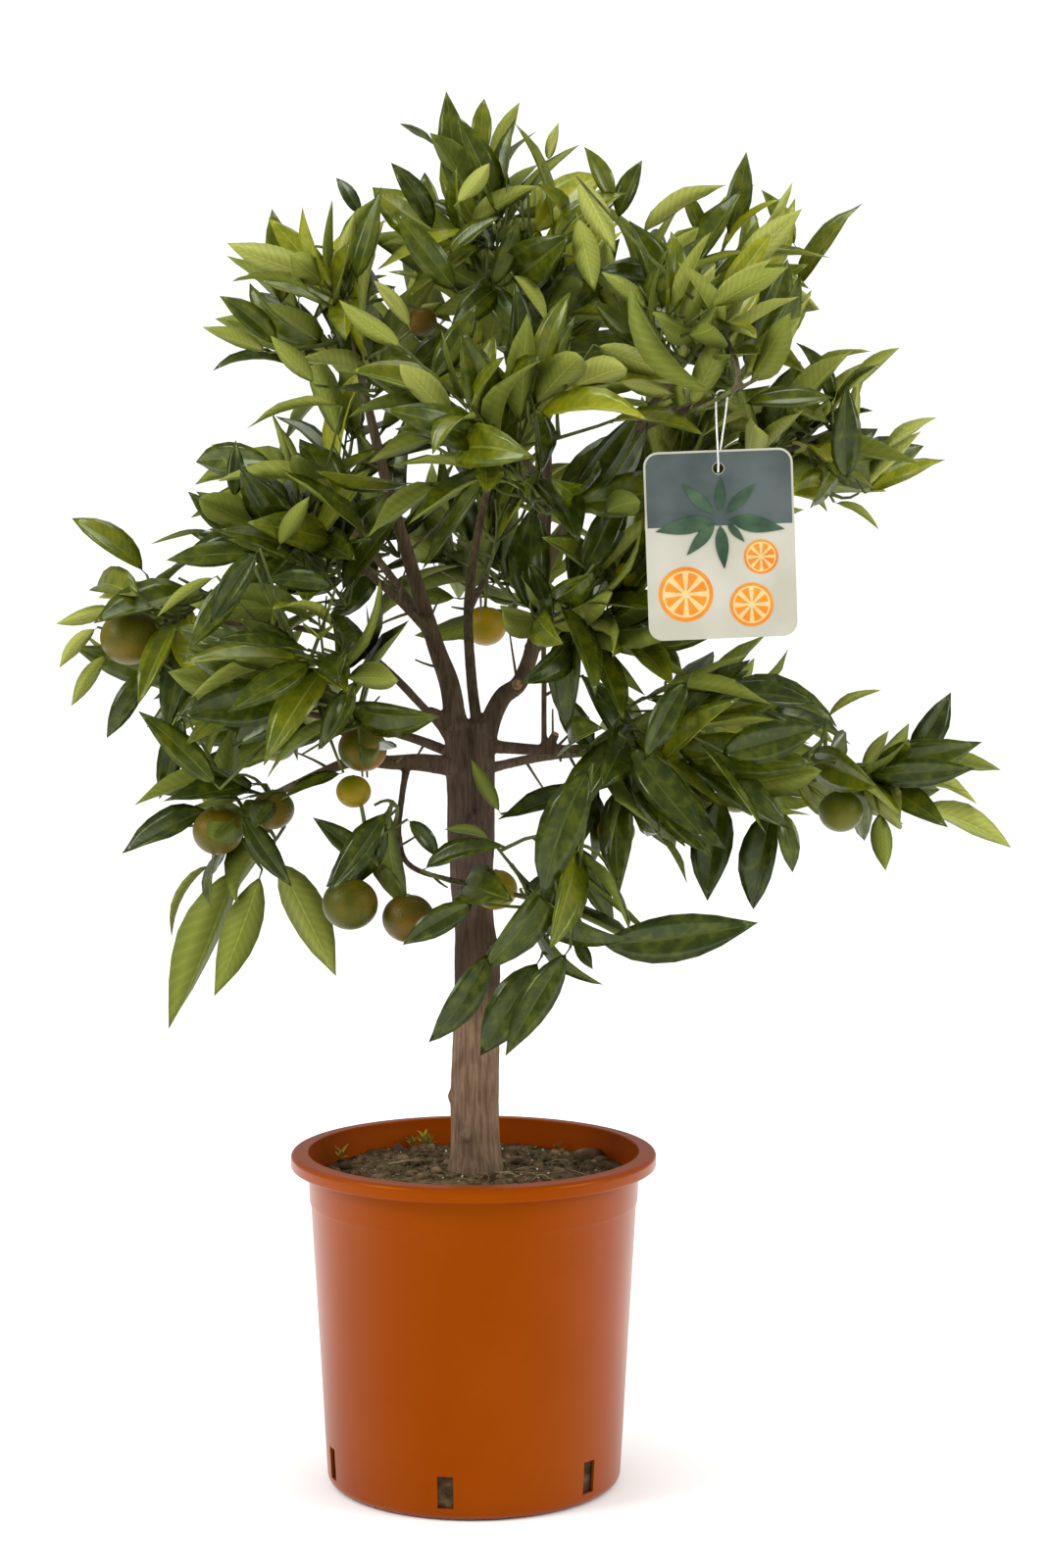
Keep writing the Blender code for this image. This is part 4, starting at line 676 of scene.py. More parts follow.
# Foliage
# Living twigs, leaves and fruit. Each mass grows on from its bough's tip by the rule of the solids: a stem
# to the middle of its space, shoots to even directions round it and to the furthest tips, and on these
# finer twigs. Blades turn their upper sides to their twig's tip. They are leathery, folded along their
# ribs, glossy and dark above and pale and matte below.
# Masses: centre, reach, how many leaves the solids have, seed, then the leaves that stand out most, as
# tip x and z, foot x and z and depth in millimetres and how far the upper side turns to the front, and
# the fruit with its radius.
MASSES = {
    "crown_top": ((0.013, -0.005, 0.737), (0.081, 0.085, 0.081), 26, 55, (
        (-15, 828, -6, 764, -20, 1), (6, 829, 6, 790, 10, 0.3), (26, 825, 13, 780, -10, -0.8),
        (51, 814, 44, 791, 20, -0.6), (-45, 788, -22, 746, -40, 0.8), (66, 796, 82, 763, -30, 0.7),
        (-44, 757, -7, 710, -70, 0.9), (-42, 812, -21, 798, 0, 0.2), (13, 783, -9, 759, -80, -0.8),
        (38, 773, -3, 749, -45, -0.7), (16, 754, -14, 732, -60, 0.8), (28, 753, 12, 713, -50, 0.7),
        (70, 709, 60, 754, -90, -0.95), (44, 693, 23, 722, -65, -0.6),
    ), ()),
    "upper_left": ((-0.074, -0.005, 0.702), (0.072, 0.082, 0.067), 24, 52, (
        (-141, 739, -86, 719, -40, -0.8), (-145, 712, -112, 680, -30, 0.9),
        (-158, 693, -119, 678, -10, -0.6), (-156, 673, -106, 670, 10, 0.2), (-81, 783, -65, 758, 20, 0.8),
        (-50, 771, -68, 716, -50, 0.5), (-138, 721, -90, 710, -60, -0.3), (-103, 743, -76, 735, 20, 0.1),
        (-68, 757, -80, 712, -30, -0.8), (-54, 718, -34, 689, -75, -0.8), (-114, 686, -89, 658, -65, -0.8),
    ), (((-0.029, -0.030, 0.695), 0.009),)),
    "upper_right": ((0.129, 0, 0.703), (0.089, 0.088, 0.088), 26, 36, (
        (99, 791, 85, 755, 0, 0.4), (161, 794, 149, 743, -10, 0.9), (229, 770, 190, 714, 0, 0.4),
        (147, 776, 97, 744, -30, -0.3), (172, 776, 192, 741, 30, 0.8), (189, 759, 149, 719, -50, -0.7),
        (198, 711, 167, 688, -30, -0.7), (125, 776, 136, 742, 10, 0.6), (68, 706, 106, 679, -55, 0.8),
        (157, 736, 109, 712, -60, 0.2), (130, 748, 106, 719, -65, -0.8), (178, 747, 178, 710, -55, -0.95),
        (201, 728, 176, 670, -20, -0.7),
    ), ()),
    "right_shoulder": ((0.204, -0.015, 0.629), (0.072, 0.075, 0.058), 19, 44, (
        (248, 683, 221, 654, -20, -0.6), (235, 682, 191, 664, 10, -0.3), (189, 685, 209, 646, -40, 0.7),
        (270, 641, 239, 621, -30, -0.6), (279, 618, 230, 596, -20, 0.4), (238, 576, 211, 591, -30, -0.3),
        (210, 658, 214, 602, -95, 0.9),
    ), ()),
    "centre_front": ((0.028, -0.120, 0.622), (0.104, 0.075, 0.086), 27, 48, (
        (-72, 702, -35, 676, -140, -0.9), (5, 702, -23, 658, -100, 0.7), (-37, 654, -1, 634, -115, 0.7),
        (113, 662, 69, 679, -117, -0.8), (82, 659, 114, 651, -132, -1), (109, 639, 63, 651, -130, -0.7),
    ), ()),
    "left_shoulder": ((-0.100, -0.060, 0.573), (0.068, 0.075, 0.069), 24, 57, (
        (-132, 637, -74, 646, -56, -0.3), (-182, 568, -148, 576, -82, 0.2),
        (-162, 597, -130, 570, -70, 0.7), (-135, 627, -137, 592, -50, 0.6),
        (-114, 638, -103, 606, -20, -0.7), (-169, 561, -120, 563, -120, 0.8),
        (-89, 596, -107, 566, -125, -0.8), (-106, 611, -56, 571, -110, 0.4),
    ), ()),
    "far_left": ((-0.186, -0.030, 0.513), (0.048, 0.062, 0.056), 13, 4, (
        (-234, 585, -190, 549, -30, 0.4), (-242, 520, -206, 530, -40, -0.7),
        (-240, 496, -217, 519, -50, -0.75), (-212, 454, -187, 497, -60, 0.8),
        (-221, 534, -186, 542, -10, -0.6), (-195, 516, -152, 540, -25, -0.7),
        (-233, 473, -211, 504, -45, -0.4),
    ), (((-0.198, -0.050, 0.513), 0.017),)),
    "left_front": ((-0.091, -0.110, 0.495), (0.083, 0.070, 0.061), 24, 23, (
        (-143, 526, -115, 567, -150, 0.95), (-175, 529, -141, 551, -120, -0.5),
        (-184, 477, -140, 432, -127, 0.9), (-134, 456, -75, 501, -125, 0.9),
        (-152, 472, -107, 458, -100, 0.7), (-83, 457, -67, 489, -140, 0.9),
        (-156, 512, -119, 557, -140, 0.9), (-85, 453, -64, 494, -115, 0.9),
        (-113, 551, -74, 545, -135, 0.9), (-129, 529, -89, 503, -125, 0.8),
        (-152, 472, -152, 506, -85, 0.8), (-107, 426, -71, 441, -124, 0.5),
    ), (((-0.062, -0.080, 0.451), 0.014),)),
    "lower_left": ((-0.137, -0.050, 0.409), (0.060, 0.068, 0.054), 12, 17, (
        (-203, 389, -151, 415, -60, 0.5), (-183, 336, -152, 380, -30, -0.1),
        (-176, 283, -136, 384, -50, -0.45), (-148, 306, -121, 380, -70, -0.7),
        (-81, 310, -115, 382, -20, -0.95), (-103, 372, -132, 415, -87, 0.9),
        (-181, 419, -167, 470, -52, 0.6),
    ), (((-0.146, -0.070, 0.4026), 0.0146), ((-0.116, -0.045, 0.4125), 0.0125),)),
    "inner_left": ((-0.058, -0.088, 0.397), (0.043, 0.052, 0.048), 10, 7, (
        (-90, 413, -53, 386, -100, 0.7), (-101, 378, -57, 400, -84, 0.6), (-17, 390, -36, 412, -95, 0.8),
    ), (
        ((-0.069, -0.090, 0.363), 0.016), ((-0.036, -0.085, 0.354), 0.015),
        ((-0.067, -0.085, 0.427), 0.010),
    )),
    "hanging": ((0.052, -0.125, 0.367), (0.078, 0.064, 0.047), 12, 3, (
        (161, 357, 68, 347, -140, 1), (-22, 287, 11, 343, -130, 0.9), (5, 278, 40, 335, -110, 0.9),
        (19, 286, 56, 346, -150, 1), (69, 328, 58, 347, -110, 0.4), (-39, 347, 4, 369, -136, 0.9),
        (20, 404, -27, 386, -134, 0.6), (70, 378, 28, 370, -75, 0.5), (-15, 410, 12, 402, -117, -0.3),
        (37, 374, 68, 449, -154, 0.95),
    ), (((0.014, -0.070, 0.3686), 0.0126),)),
    "right_front": ((0.076, -0.095, 0.534), (0.070, 0.055, 0.075), 20, 1, (
        (33, 560, 46, 523, -100, 0.9),
    ), (((0.088, -0.110, 0.552), 0.007),)),
    "right_low": ((0.110, -0.075, 0.444), (0.089, 0.072, 0.075), 26, 19, (
        (88, 356, 85, 407, -58, 1), (135, 362, 144, 426, -70, 0.8), (161, 354, 173, 419, -74, 0.7),
        (197, 467, 138, 450, -120, 0.9), (135, 415, 100, 439, -118, 0.7), (125, 373, 108, 401, -80, -0.2),
        (185, 380, 175, 418, -94, 0.7), (96, 448, 123, 494, -120, 0.9), (171, 479, 110, 491, -110, -0.5),
        (14, 408, 68, 427, -63, 0.6), (49, 483, 72, 446, -45, 0.6), (64, 493, 98, 440, -27, 0.7),
        (-1, 443, 17, 411, -55, -0.7),
    ), (((0.0836, -0.060, 0.4015), 0.011),)),
    "far_right": ((0.234, -0.030, 0.433), (0.073, 0.068, 0.043), 16, 38, (
        (281, 481, 256, 437, -30, 0.8), (312, 434, 265, 439, -20, -0.4), (317, 392, 258, 413, -40, -0.5),
        (241, 377, 237, 412, -50, -0.9), (245, 457, 229, 432, -20, -0.8), (240, 482, 208, 464, -20, -0.4),
        (297, 416, 255, 431, -35, -0.5),
    ), (((0.215, -0.045, 0.4114), 0.013),)),
    "front_right": ((0.137, -0.135, 0.688), (0.056, 0.070, 0.056), 18, 16, (
        (81, 729, 59, 770, -130, -0.9), (73, 719, 100, 698, -115, -0.8), (134, 725, 118, 666, -120, -0.6),
        (150, 699, 121, 642, -135, -0.7), (204, 651, 150, 646, -115, 0.5),
    ), ()),
    "back_top": ((0.038, 0.105, 0.692), (0.110, 0.090, 0.096), 26, 23, (), ()),
    "back_left": ((-0.082, 0.110, 0.605), (0.089, 0.092, 0.088), 23, 52, (), (
        ((-0.130, 0.130, 0.580), 0.014),
    )),
    "back_right": ((0.135, 0.110, 0.601), (0.084, 0.092, 0.088), 24, 35, (), (
        ((0.170, 0.140, 0.560), 0.014),
    )),
    "back_low_left": ((-0.129, 0.092, 0.476), (0.078, 0.088, 0.059), 20, 12, (), (
        ((-0.125, 0.110, 0.440), 0.014),
    )),
    "back_low_right": ((0.156, 0.105, 0.441), (0.086, 0.088, 0.070), 21, 9, (), (
        ((0.165, 0.125, 0.405), 0.013),
    )),
    "back_middle": ((0.008, 0.125, 0.562), (0.093, 0.080, 0.079), 20, 16, (), (
        ((0.006, 0.110, 0.512), 0.0134),
    )),
}
# Gaps where the sky shows through, seen from the front: x, z, half width and half height in millimetres
SKY = (
    (209, 487, 28, 12), (-119, 659, 23, 12), (104, 769, 13, 16), (246, 647, 11, 18), (-127, 627, 12, 12),
    (111, 367, 17, 17), (248, 463, 17, 14), (-176, 380, 15, 16), (-102, 400, 12, 17), (-84, 633, 12, 8),
    (30, 465, 11, 13), (-31, 483, 10, 13), (-224, 475, 10, 14), (-52, 420, 8, 10), (-27, 419, 10, 8),
    (19, 432, 7, 11), (158, 369, 9, 30), (185, 511, 12, 9), (202, 688, 9, 11), (54, 630, 8, 8),
)
EYE = Vector((0.030, -1.993, 0.615))  # where these are seen from
MILLIMETRE = 0.001
SOLID_LEAF = 0.085  # how long a leaf of the solids is, larger than life
FINER = 1.72  # leaves here for each leaf of the solids, where both are as long
SPACE_MORE = 0.018  # how far a leaf may lean over into the next mass's space
REACH_MORE = 1.10  # the same for the edge of its reach
UP = Vector((0, 0, 1))
FRONT = Vector((0, -1, 0))
GOLDEN_ANGLE = math.pi * (3 - math.sqrt(5))
GOLDEN_SHARE = (math.sqrt(5) - 1) / 2
STEM_START = 0.0015
STEM_END_RADIUS = 0.0014
SHOOT_RADII = (0.0013, 0.0008)
TWIGLET_RADII = (0.0009, 0.0006)
SHOOT_REACH = (0.10, 0.72)
SHOOT_TRIES = 190
LEAST_SHOOT = 0.022
FORK_SHARES = (0.25, 0.45, 0.65, 0.85)
LEAF_TRIES = 7
LEAF_STEP = 0.0155  # between two leaves of a shoot
LOW_LEAF = 0.090  # length with its stalk, at the crown's foot and at its top
TOP_LEAF = 0.073
CROWN_FOOT = 0.300
CROWN_TOP = 0.830
CROWN_REACH = 0.290
CROWN_MIDDLE = Vector((0.03, 0, 0.52))
DEPTH_LEAN = 0.45  # of what shoots lean sideways, they lean to the front or back
LIFT = 0.35  # how strongly shoots rise
OUTWARD = 0.28  # how strongly leaves turn the way in which shoots lean
LEAF_CLEARANCE = 0.0085
TURNED_YOUTH = 0.28  # how much younger a leaf looks that shows its underside
FRUIT_SUNK = 0.72
STALK_RISE = 0.3
CARD_SIZE = (0.082, 0.103)
CARD_HOLE = Vector((0.1363, -0.1500, 0.6108))
CARD_HOLE_DROP = 0.010

# A leaf: stations from the foot of the blade to its tip, as shares of its length and of its half width,
# and columns across its upper side. The strip between the middle two is the rib.
BLADE_STATIONS = (
    (0.06, 0), (0.13, 0.38), (0.23, 0.73), (0.35, 0.94), (0.48, 1.00), (0.62, 0.91), (0.76, 0.66), (0.89, 0.31), (1, 0),
)
UPPER_COLUMNS = (-1, -0.5, -0.06, 0.06, 0.5, 1)
BLADE_THICKNESS = 0.006
STALK_RADIUS = 0.008
UPPER, UNDER, RIB = range(3)
VARIANTS = 24
LEAF_SHEEN = (0.85, 0.95, 0.70, 1)
# Tints of the leaves: upper side, underside, rib and how much lighter the upper side's mottles are
TINTS = {
    "deep": ((0.023, 0.033, 0.0012, 1), (0.110, 0.134, 0.018, 1), (0.050, 0.064, 0.006, 1), 2.05),
    "mid": ((0.043, 0.057, 0.0013, 1), (0.155, 0.182, 0.024, 1), (0.085, 0.108, 0.010, 1), 1.75),
    "fresh": ((0.092, 0.110, 0.0025, 1), (0.220, 0.246, 0.038, 1), (0.150, 0.172, 0.018, 1), 1.30),
    "young": ((0.205, 0.225, 0.006, 1), (0.305, 0.328, 0.066, 1), (0.270, 0.285, 0.035, 1), 1.15),
}


def leaf_shape(dice, youth):
    """Points of one leaf of length 1 with its stalk, along +X, with its upper side up. Young ones fold more."""
    bend = dice.uniform(-0.1, 0.95)
    fold = math.radians(dice.uniform(8, 32) + 8 * youth)
    half_width = dice.uniform(0.138, 0.190) * (1 - 0.16 * youth)
    twist = dice.uniform(-0.6, 0.6)
    sway = dice.uniform(-0.35, 0.35)
    bulge = dice.uniform(0.03, 0.14)
    wave = dice.uniform(0, 0.012)
    phase = dice.uniform(0, math.tau)
    points = []
    line = Vector((0, 0, 0))
    before = 0
    for station, width in BLADE_STATIONS:
        slope = bend * (0.45 - station)
        heading = Matrix.Rotation(sway * (station - 0.45), 3, "Z") @ Matrix.Rotation(-slope, 3, "Y")
        line = line + heading @ Vector((station - before, 0, 0))
        before = station
        turn = heading @ Matrix.Rotation(twist * (station - 0.3), 3, "X")
        half = half_width * width
        if width == 0:
            points.append(line.copy())
            continue
        for column in UPPER_COLUMNS:
            out = abs(column)
            edge = half * math.tan(fold) + wave * math.sin(station * 14 + phase + (column > 0))
            lift = out * edge + 4 * out * (1 - out) * half * bulge
            points.append(line + turn @ Vector((0, half * column, lift)))
        points.append(line + turn @ Vector((0, 0, -BLADE_THICKNESS)))
    first = Vector((0, 0, 0))
    second = points[0] + Vector((0.03, 0, -0.003))
    for end, thickness in ((first, STALK_RADIUS * 1.15), (second, STALK_RADIUS * 0.7)):
        for corner in range(3):
            angle = math.tau * corner / 3 + math.pi / 2
            points.append(end + Vector((0, thickness * math.cos(angle), thickness * math.sin(angle))))
    return np.array(points)


def leaf_faces():
    """Faces of a leaf, the material slot of each, and where each point lies on the blade."""
    upper, inner = len(UPPER_COLUMNS), len(BLADE_STATIONS) - 2
    tip = 1 + inner * (upper + 1)
    tops = [[0] * upper]
    unders = [[0] * 3]
    for start in range(1, tip, upper + 1):
        tops.append([start + column for column in range(upper)])
        unders.append([start, start + upper, start + upper - 1])
    tops.append([tip] * upper)
    unders.append([tip] * 3)
    faces, slots = [], []
    for row in range(len(tops) - 1):
        here, there = tops[row], tops[row + 1]
        for column in range(upper - 1):
            faces.append((here[column], there[column], there[column + 1], here[column + 1]))
            slots.append(RIB if column == (upper - 2) // 2 else UPPER)
        here, there = unders[row], unders[row + 1]
        for column in range(2):
            faces.append((here[column], here[column + 1], there[column + 1], there[column]))
            slots.append(UNDER)
    foot = tip + 1
    for corner in range(3):
        after = (corner + 1) % 3
        faces.append((foot + corner, foot + after, foot + 3 + after, foot + 3 + corner))
    faces += [(foot + 2, foot + 1, foot), (foot + 3, foot + 4, foot + 5)]
    slots += [RIB] * 5
    spots = [(BLADE_STATIONS[0][0], 0.5)]
    for station, _ in BLADE_STATIONS[1:-1]:
        spots += [(station, 0.5 + 0.5 * column) for column in UPPER_COLUMNS] + [(station, 0.5)]
    spots += [(1, 0.5)] + [(0, 0.5)] * 6
    return [tuple(dict.fromkeys(face)) for face in faces], slots, spots


def edge_radius(reach, direction):
    """How far an ellipsoid of this reach goes in a direction."""
    return 1 / math.sqrt(sum((direction[axis] / reach[axis]) ** 2 for axis in range(3)))


def dividing_planes(name):
    """A plane between this mass and each other one."""
    centre, reach = (Vector(value) for value in MASSES[name][:2])
    planes = []
    for other, row in MASSES.items():
        if other == name:
            continue
        away = Vector(row[0]) - centre
        normal = away.normalized()
        own = edge_radius(reach, normal)
        theirs = edge_radius(Vector(row[1]), normal)
        planes.append((centre + away * own / (own + theirs), normal))
    return planes


def in_front_of_card(point):
    width, height = CARD_SIZE
    top = CARD_HOLE.z + CARD_HOLE_DROP
    beside = abs(point.x - CARD_HOLE.x) > width / 2 + 0.002
    return point.y < CARD_HOLE.y + 0.006 and not beside and top - height - 0.002 < point.z < top + 0.002


def in_sky(point):
    """Whether a point stands before or behind one of the gaps, seen from the front."""
    share = EYE.y / (EYE.y - point.y)
    x = (EYE.x + (point.x - EYE.x) * share) / MILLIMETRE
    z = (EYE.z + (point.z - EYE.z) * share) / MILLIMETRE
    return any(((x - row[0]) / row[2]) ** 2 + ((z - row[1]) / row[3]) ** 2 < 1 for row in SKY)


def across(direction, hint):
    """A unit vector square to the direction, as near to the hint as it can be."""
    side = hint - direction * hint.dot(direction)
    if side.length < 0.05:
        side = direction.orthogonal()
    return side.normalized()


def curved(start, middle, end):
    """Places along a twig that bends towards `middle` on its way."""
    shares = (0, 0.25, 0.5, 0.75, 1)
    return [start * (1 - t) ** 2 + middle * 2 * t * (1 - t) + end * t * t for t in shares]


def bowed(start, end, rise):
    """The same for one that bows up by `rise`."""
    return curved(start, (start + end) / 2 + UP * rise, end)


def lean(spot):
    """Which way shoots turn: away from the crown's middle, and up."""
    away = spot - CROWN_MIDDLE
    away.y *= DEPTH_LEAN
    return (away.normalized() + UP * LIFT).normalized()


def on_route(route, share):
    """A place on a route and its heading there."""
    span = min(int(share * (len(route) - 1)), len(route) - 2)
    part = share * (len(route) - 1) - span
    return route[span].lerp(route[span + 1], part), (route[span + 1] - route[span]).normalized()


class Crowding:
    """Where leaves are already, in a grid of small cells, so that no two lie in each other."""

    def __init__(self, clearance):
        self.clearance = clearance
        self.cells = {}

    def cell(self, point):
        return tuple(int(math.floor(value / self.clearance)) for value in point)

    def free(self, point):
        x, y, z = self.cell(point)
        for a in (x - 1, x, x + 1):
            for b in (y - 1, y, y + 1):
                for c in (z - 1, z, z + 1):
                    for other in self.cells.get((a, b, c), ()):
                        if (other - point).length < self.clearance:
                            return False
        return True

    def add(self, point):
        self.cells.setdefault(self.cell(point), []).append(point)


shape_dice = random.Random(11)
old_shapes = [leaf_shape(shape_dice, 0) for _ in range(VARIANTS)]
young_shapes = [leaf_shape(shape_dice, 1) for _ in range(VARIANTS)]
blade_faces, blade_slots, blade_spots = leaf_faces()
limb_surface = BVHTree.FromObject(bark, bpy.context.evaluated_depsgraph_get())
all_fruit = [(Vector(spot), radius) for row in MASSES.values() for spot, radius in row[5]]
fruit_spots = np.array([spot for spot, _ in all_fruit])
fruit_room = np.array([radius for _, radius in all_fruit]) + 0.002
crowding = Crowding(LEAF_CLEARANCE)
leaf_copies = {tint: [] for tint in TINTS}
woody_lines = []
green_lines = []


class Mass:
    """One mass of foliage while it grows, within the space and the reach that the solid one keeps to."""

    def __init__(self, name):
        self.name = name
        centre, reach, count, self.seed, self.outer, self.fruit = MASSES[name]
        self.centre = Vector(centre)
        self.reach = Vector(reach)
        planes = dividing_planes(name)
        self.normals = np.array([normal for _, normal in planes])
        self.limits = np.array([spot.dot(normal) + SPACE_MORE for spot, normal in planes])
        self.dice = random.Random(name)
        life_size = self.height_share(self.centre.z) * (TOP_LEAF - LOW_LEAF) + LOW_LEAF
        self.leaf_count = round(count * FINER * (SOLID_LEAF / life_size) ** 2)
        self.leaves = 0
        self.twigs = []

    def height_share(self, height):
        return min(max((height - CROWN_FOOT) / (CROWN_TOP - CROWN_FOOT), 0), 1)

    def scatter(self, size):
        """A random vector, most often about as long as the size."""
        return Vector([self.dice.gauss(0, size) for _ in range(3)])

    def has_room(self, points, inside):
        places = np.array(points)
        if (places @ self.normals.T > self.limits).any():
            return False
        away = (places - np.array(self.centre)) / np.array(self.reach)
        if inside and ((away ** 2).sum(axis=1).max() > REACH_MORE ** 2 or any(map(in_sky, points))):
            return False
        if any(map(in_front_of_card, points)):
            return False
        if (np.linalg.norm(places[:, None] - fruit_spots, axis=2) < fruit_room).any():
            return False
        return all(limb_surface.find_nearest(point, 0.0022)[0] is None for point in points)

    def youth(self, spot):
        """How young a spray is, from 0 to 1: the younger, the higher and the further out it grows."""
        outward = math.hypot(spot.x, spot.y * 0.6) / CROWN_REACH
        return 0.60 * self.height_share(spot.z) + 0.42 * outward + self.dice.uniform(-0.28, 0.32)

    def pick_tint(self, youth):
        """The tint for a leaf of a spray. A few are a tint lighter or darker than the rest."""
        own = youth + self.dice.gauss(0, 0.09)
        for limit, tint in ((0.36, "deep"), (0.62, "mid"), (0.84, "fresh")):
            if own < limit:
                return tint
        return "young"

    def add_leaf(self, spot, direction, hint, length, youth, inside=True):
        """A leaf from a twig, kept if there is room for its blade."""
        face = across(direction, hint)
        points = [spot + direction * length * share for share in (0.32, 0.50, 0.66, 0.82, 0.98)]
        sideways = face.cross(direction) * length * 0.11
        points += [place + sideways * side for place in points[1:3] for side in (-1, 1)]
        if not all(map(crowding.free, points)) or not self.has_room(points, inside):
            return False
        for point in points:
            crowding.add(point)
        tint = self.pick_tint(youth)
        shapes = young_shapes if tint in ("fresh", "young") else old_shapes
        turn = np.array((direction, face.cross(direction), face))
        leaf_copies[tint].append(self.dice.choice(shapes) * length @ turn + np.array(spot))
        self.leaves += 1
        return True

    def leaf_length(self, height):
        return (LOW_LEAF + (TOP_LEAF - LOW_LEAF) * self.height_share(height)) * self.dice.uniform(0.76, 1.16)

    def leaves_along(self, route, youth, phase, first):
        """Leaves in a spiral along a twig, flatter to it towards its end, and one at its end."""
        length = sum((b - a).length for a, b in zip(route, route[1:]))
        count = max(round(length * (1 - first) / LEAF_STEP), 1)
        for number in range(count + 1):
            share = first + (1 - first) * number / count
            spot, heading = on_route(route, share)
            for attempt in range(LEAF_TRIES):
                turn = phase + number * GOLDEN_ANGLE + attempt * math.tau / LEAF_TRIES
                side = Matrix.Rotation(turn, 3, heading) @ across(heading, UP)
                spread = math.radians(self.dice.uniform(44, 84) - 18 * share)
                if number == count:
                    spread *= 0.4
                direction = heading * math.cos(spread) + side * math.sin(spread) + lean(spot) * OUTWARD
                direction = (direction + self.scatter(0.18)).normalized()
                hint = heading + UP * 0.35 + FRONT * 0.25 + self.scatter(0.45)
                length = self.leaf_length(spot.z) * (1.08 - 0.20 * share)
                if self.add_leaf(spot, direction, hint, length, youth, inside=True):
                    break

    def grow_stem(self):
        """From the bough's tip, on in its direction, to a little past the mass's centre."""
        tip_radius, places = BOUGHS[self.name][1:]
        bough = smooth_route(places, 2)
        heading = (bough[-1] - bough[-2]).normalized()
        straight = bough[-1] + heading * STEM_START
        end = self.centre + (self.centre - straight) * 0.12
        bend = straight + heading * (end - straight).length * 0.45
        curve = [straight * (1 - t) ** 2 + bend * 2 * t * (1 - t) + end * t * t for t in (0, 0.2, 0.4, 0.6, 0.8, 1)]
        self.stem = [bough[-1] - heading * 0.003] + curve
        woody_lines.append((self.stem, even_radii(tip_radius, STEM_END_RADIUS, len(self.stem))))
        self.twigs.append(self.stem)

    def nearest_on_stem(self, target):
        spots = [on_route(self.stem, step / 10)[0] for step in range(2, 11)]
        return min(spots, key=lambda spot: (spot - target).length)

    def grow_fruit_stalk(self, spot, radius):
        top = Vector(spot) + UP * radius * FRUIT_SUNK
        start = self.nearest_on_stem(top + UP * 0.012)
        route = bowed(start, top, (top - start).length * STALK_RISE)
        green_lines.append((route, even_radii(0.0013, 0.0010, len(route))))

    def grow_outer_leaf(self, row):
        """A shoot out to one of the leaves that stand out most, and that leaf."""
        tip_x, tip_z, foot_x, foot_z, depth = (value * MILLIMETRE for value in row[:5])
        turned = row[5]
        tip = Vector((tip_x, depth, tip_z))
        start = self.nearest_on_stem(Vector((foot_x, depth, foot_z)))
        foot = Vector((foot_x, depth * 0.8 + start.y * 0.2, foot_z))
        youth = self.youth(foot) - TURNED_YOUTH * turned
        hint = FRONT * turned + UP * (1 - abs(turned)) + self.scatter(0.12)
        direction = (tip - foot).normalized()
        if self.add_leaf(foot, direction, hint, (tip - foot).length, youth, inside=False):
            route = bowed(start, foot, (foot - start).length * -0.06)
            green_lines.append((route, even_radii(*SHOOT_RADII, len(route))))
            if (foot - start).length > LEAST_SHOOT:
                self.twigs.append(route)

    def grow_twiglets(self, route, youth, number):
        """Finer twigs on a shoot, each with a few leaves of its own."""
        for share in (0.62,) if (route[-1] - route[0]).length < 0.045 else (0.45, 0.72):
            spot, heading = on_route(route, share)
            side = Matrix.Rotation(number * 2.1 + share * 9, 3, heading) @ across(heading, UP)
            direction = (heading * 0.6 + side * 0.7 + lean(spot) * 0.5).normalized()
            end = spot + direction * self.dice.uniform(0.020, 0.042)
            if not self.has_room([end], True):
                continue
            before = self.leaves
            twig = bowed(spot, end, 0.002)
            self.leaves_along(twig, youth + self.dice.uniform(-0.08, 0.12), number + share, 0.50)
            if self.leaves > before:
                green_lines.append((twig, even_radii(*TWIGLET_RADII, len(twig))))

    def fork(self, end):
        """Where a new shoot leaves the twigs that are there already: near its end, and below or behind it."""
        spots = [on_route(twig, share)[0] for twig in self.twigs for share in FORK_SHARES]
        spots = [spot for spot in spots if (end - spot).length > LEAST_SHOOT] or [self.stem[0]]
        leaning = lean(end)
        return min(spots, key=lambda spot: (end - spot).length * 1.5 - (end - spot).dot(leaning))

    def grow_shoot(self, number):
        """A shoot towards one of many even directions round the centre. It rises or hangs at its end."""
        height = 1 - 2 * ((number * GOLDEN_SHARE) % 1)
        turn = number * GOLDEN_ANGLE
        ring = math.sqrt(1 - height * height)
        aim = Vector((ring * math.cos(turn), ring * math.sin(turn), height))
        reach = self.dice.uniform(*SHOOT_REACH)
        end = self.centre + Vector([aim[axis] * self.reach[axis] for axis in range(3)]) * reach
        start = self.fork(end)
        if (end - start).length < LEAST_SHOOT or not self.has_room([end], True):
            return
        route = curved(start, end - lean(end) * (end - start).length * 0.5, end)
        youth = self.youth(end)
        before = self.leaves
        self.leaves_along(route, youth, turn, 0.35)
        self.grow_twiglets(route, youth, number)
        if self.leaves > before:
            green_lines.append((route, even_radii(*SHOOT_RADII, len(route))))
            self.twigs.append(route)

    def grow_outer(self):
        self.grow_stem()
        for spot, radius in self.fruit:
            self.grow_fruit_stalk(spot, radius)
        for row in self.outer:
            self.grow_outer_leaf(row)

    def grow_rest(self):
        self.dice = random.Random(self.seed)
        for number, route in enumerate(self.twigs[1:]):
            self.leaves_along(route[:-1], self.youth(route[-1]), number, 0.45)
        for number in range(SHOOT_TRIES):
            if self.leaves < self.leaf_count:
                self.grow_shoot(number)


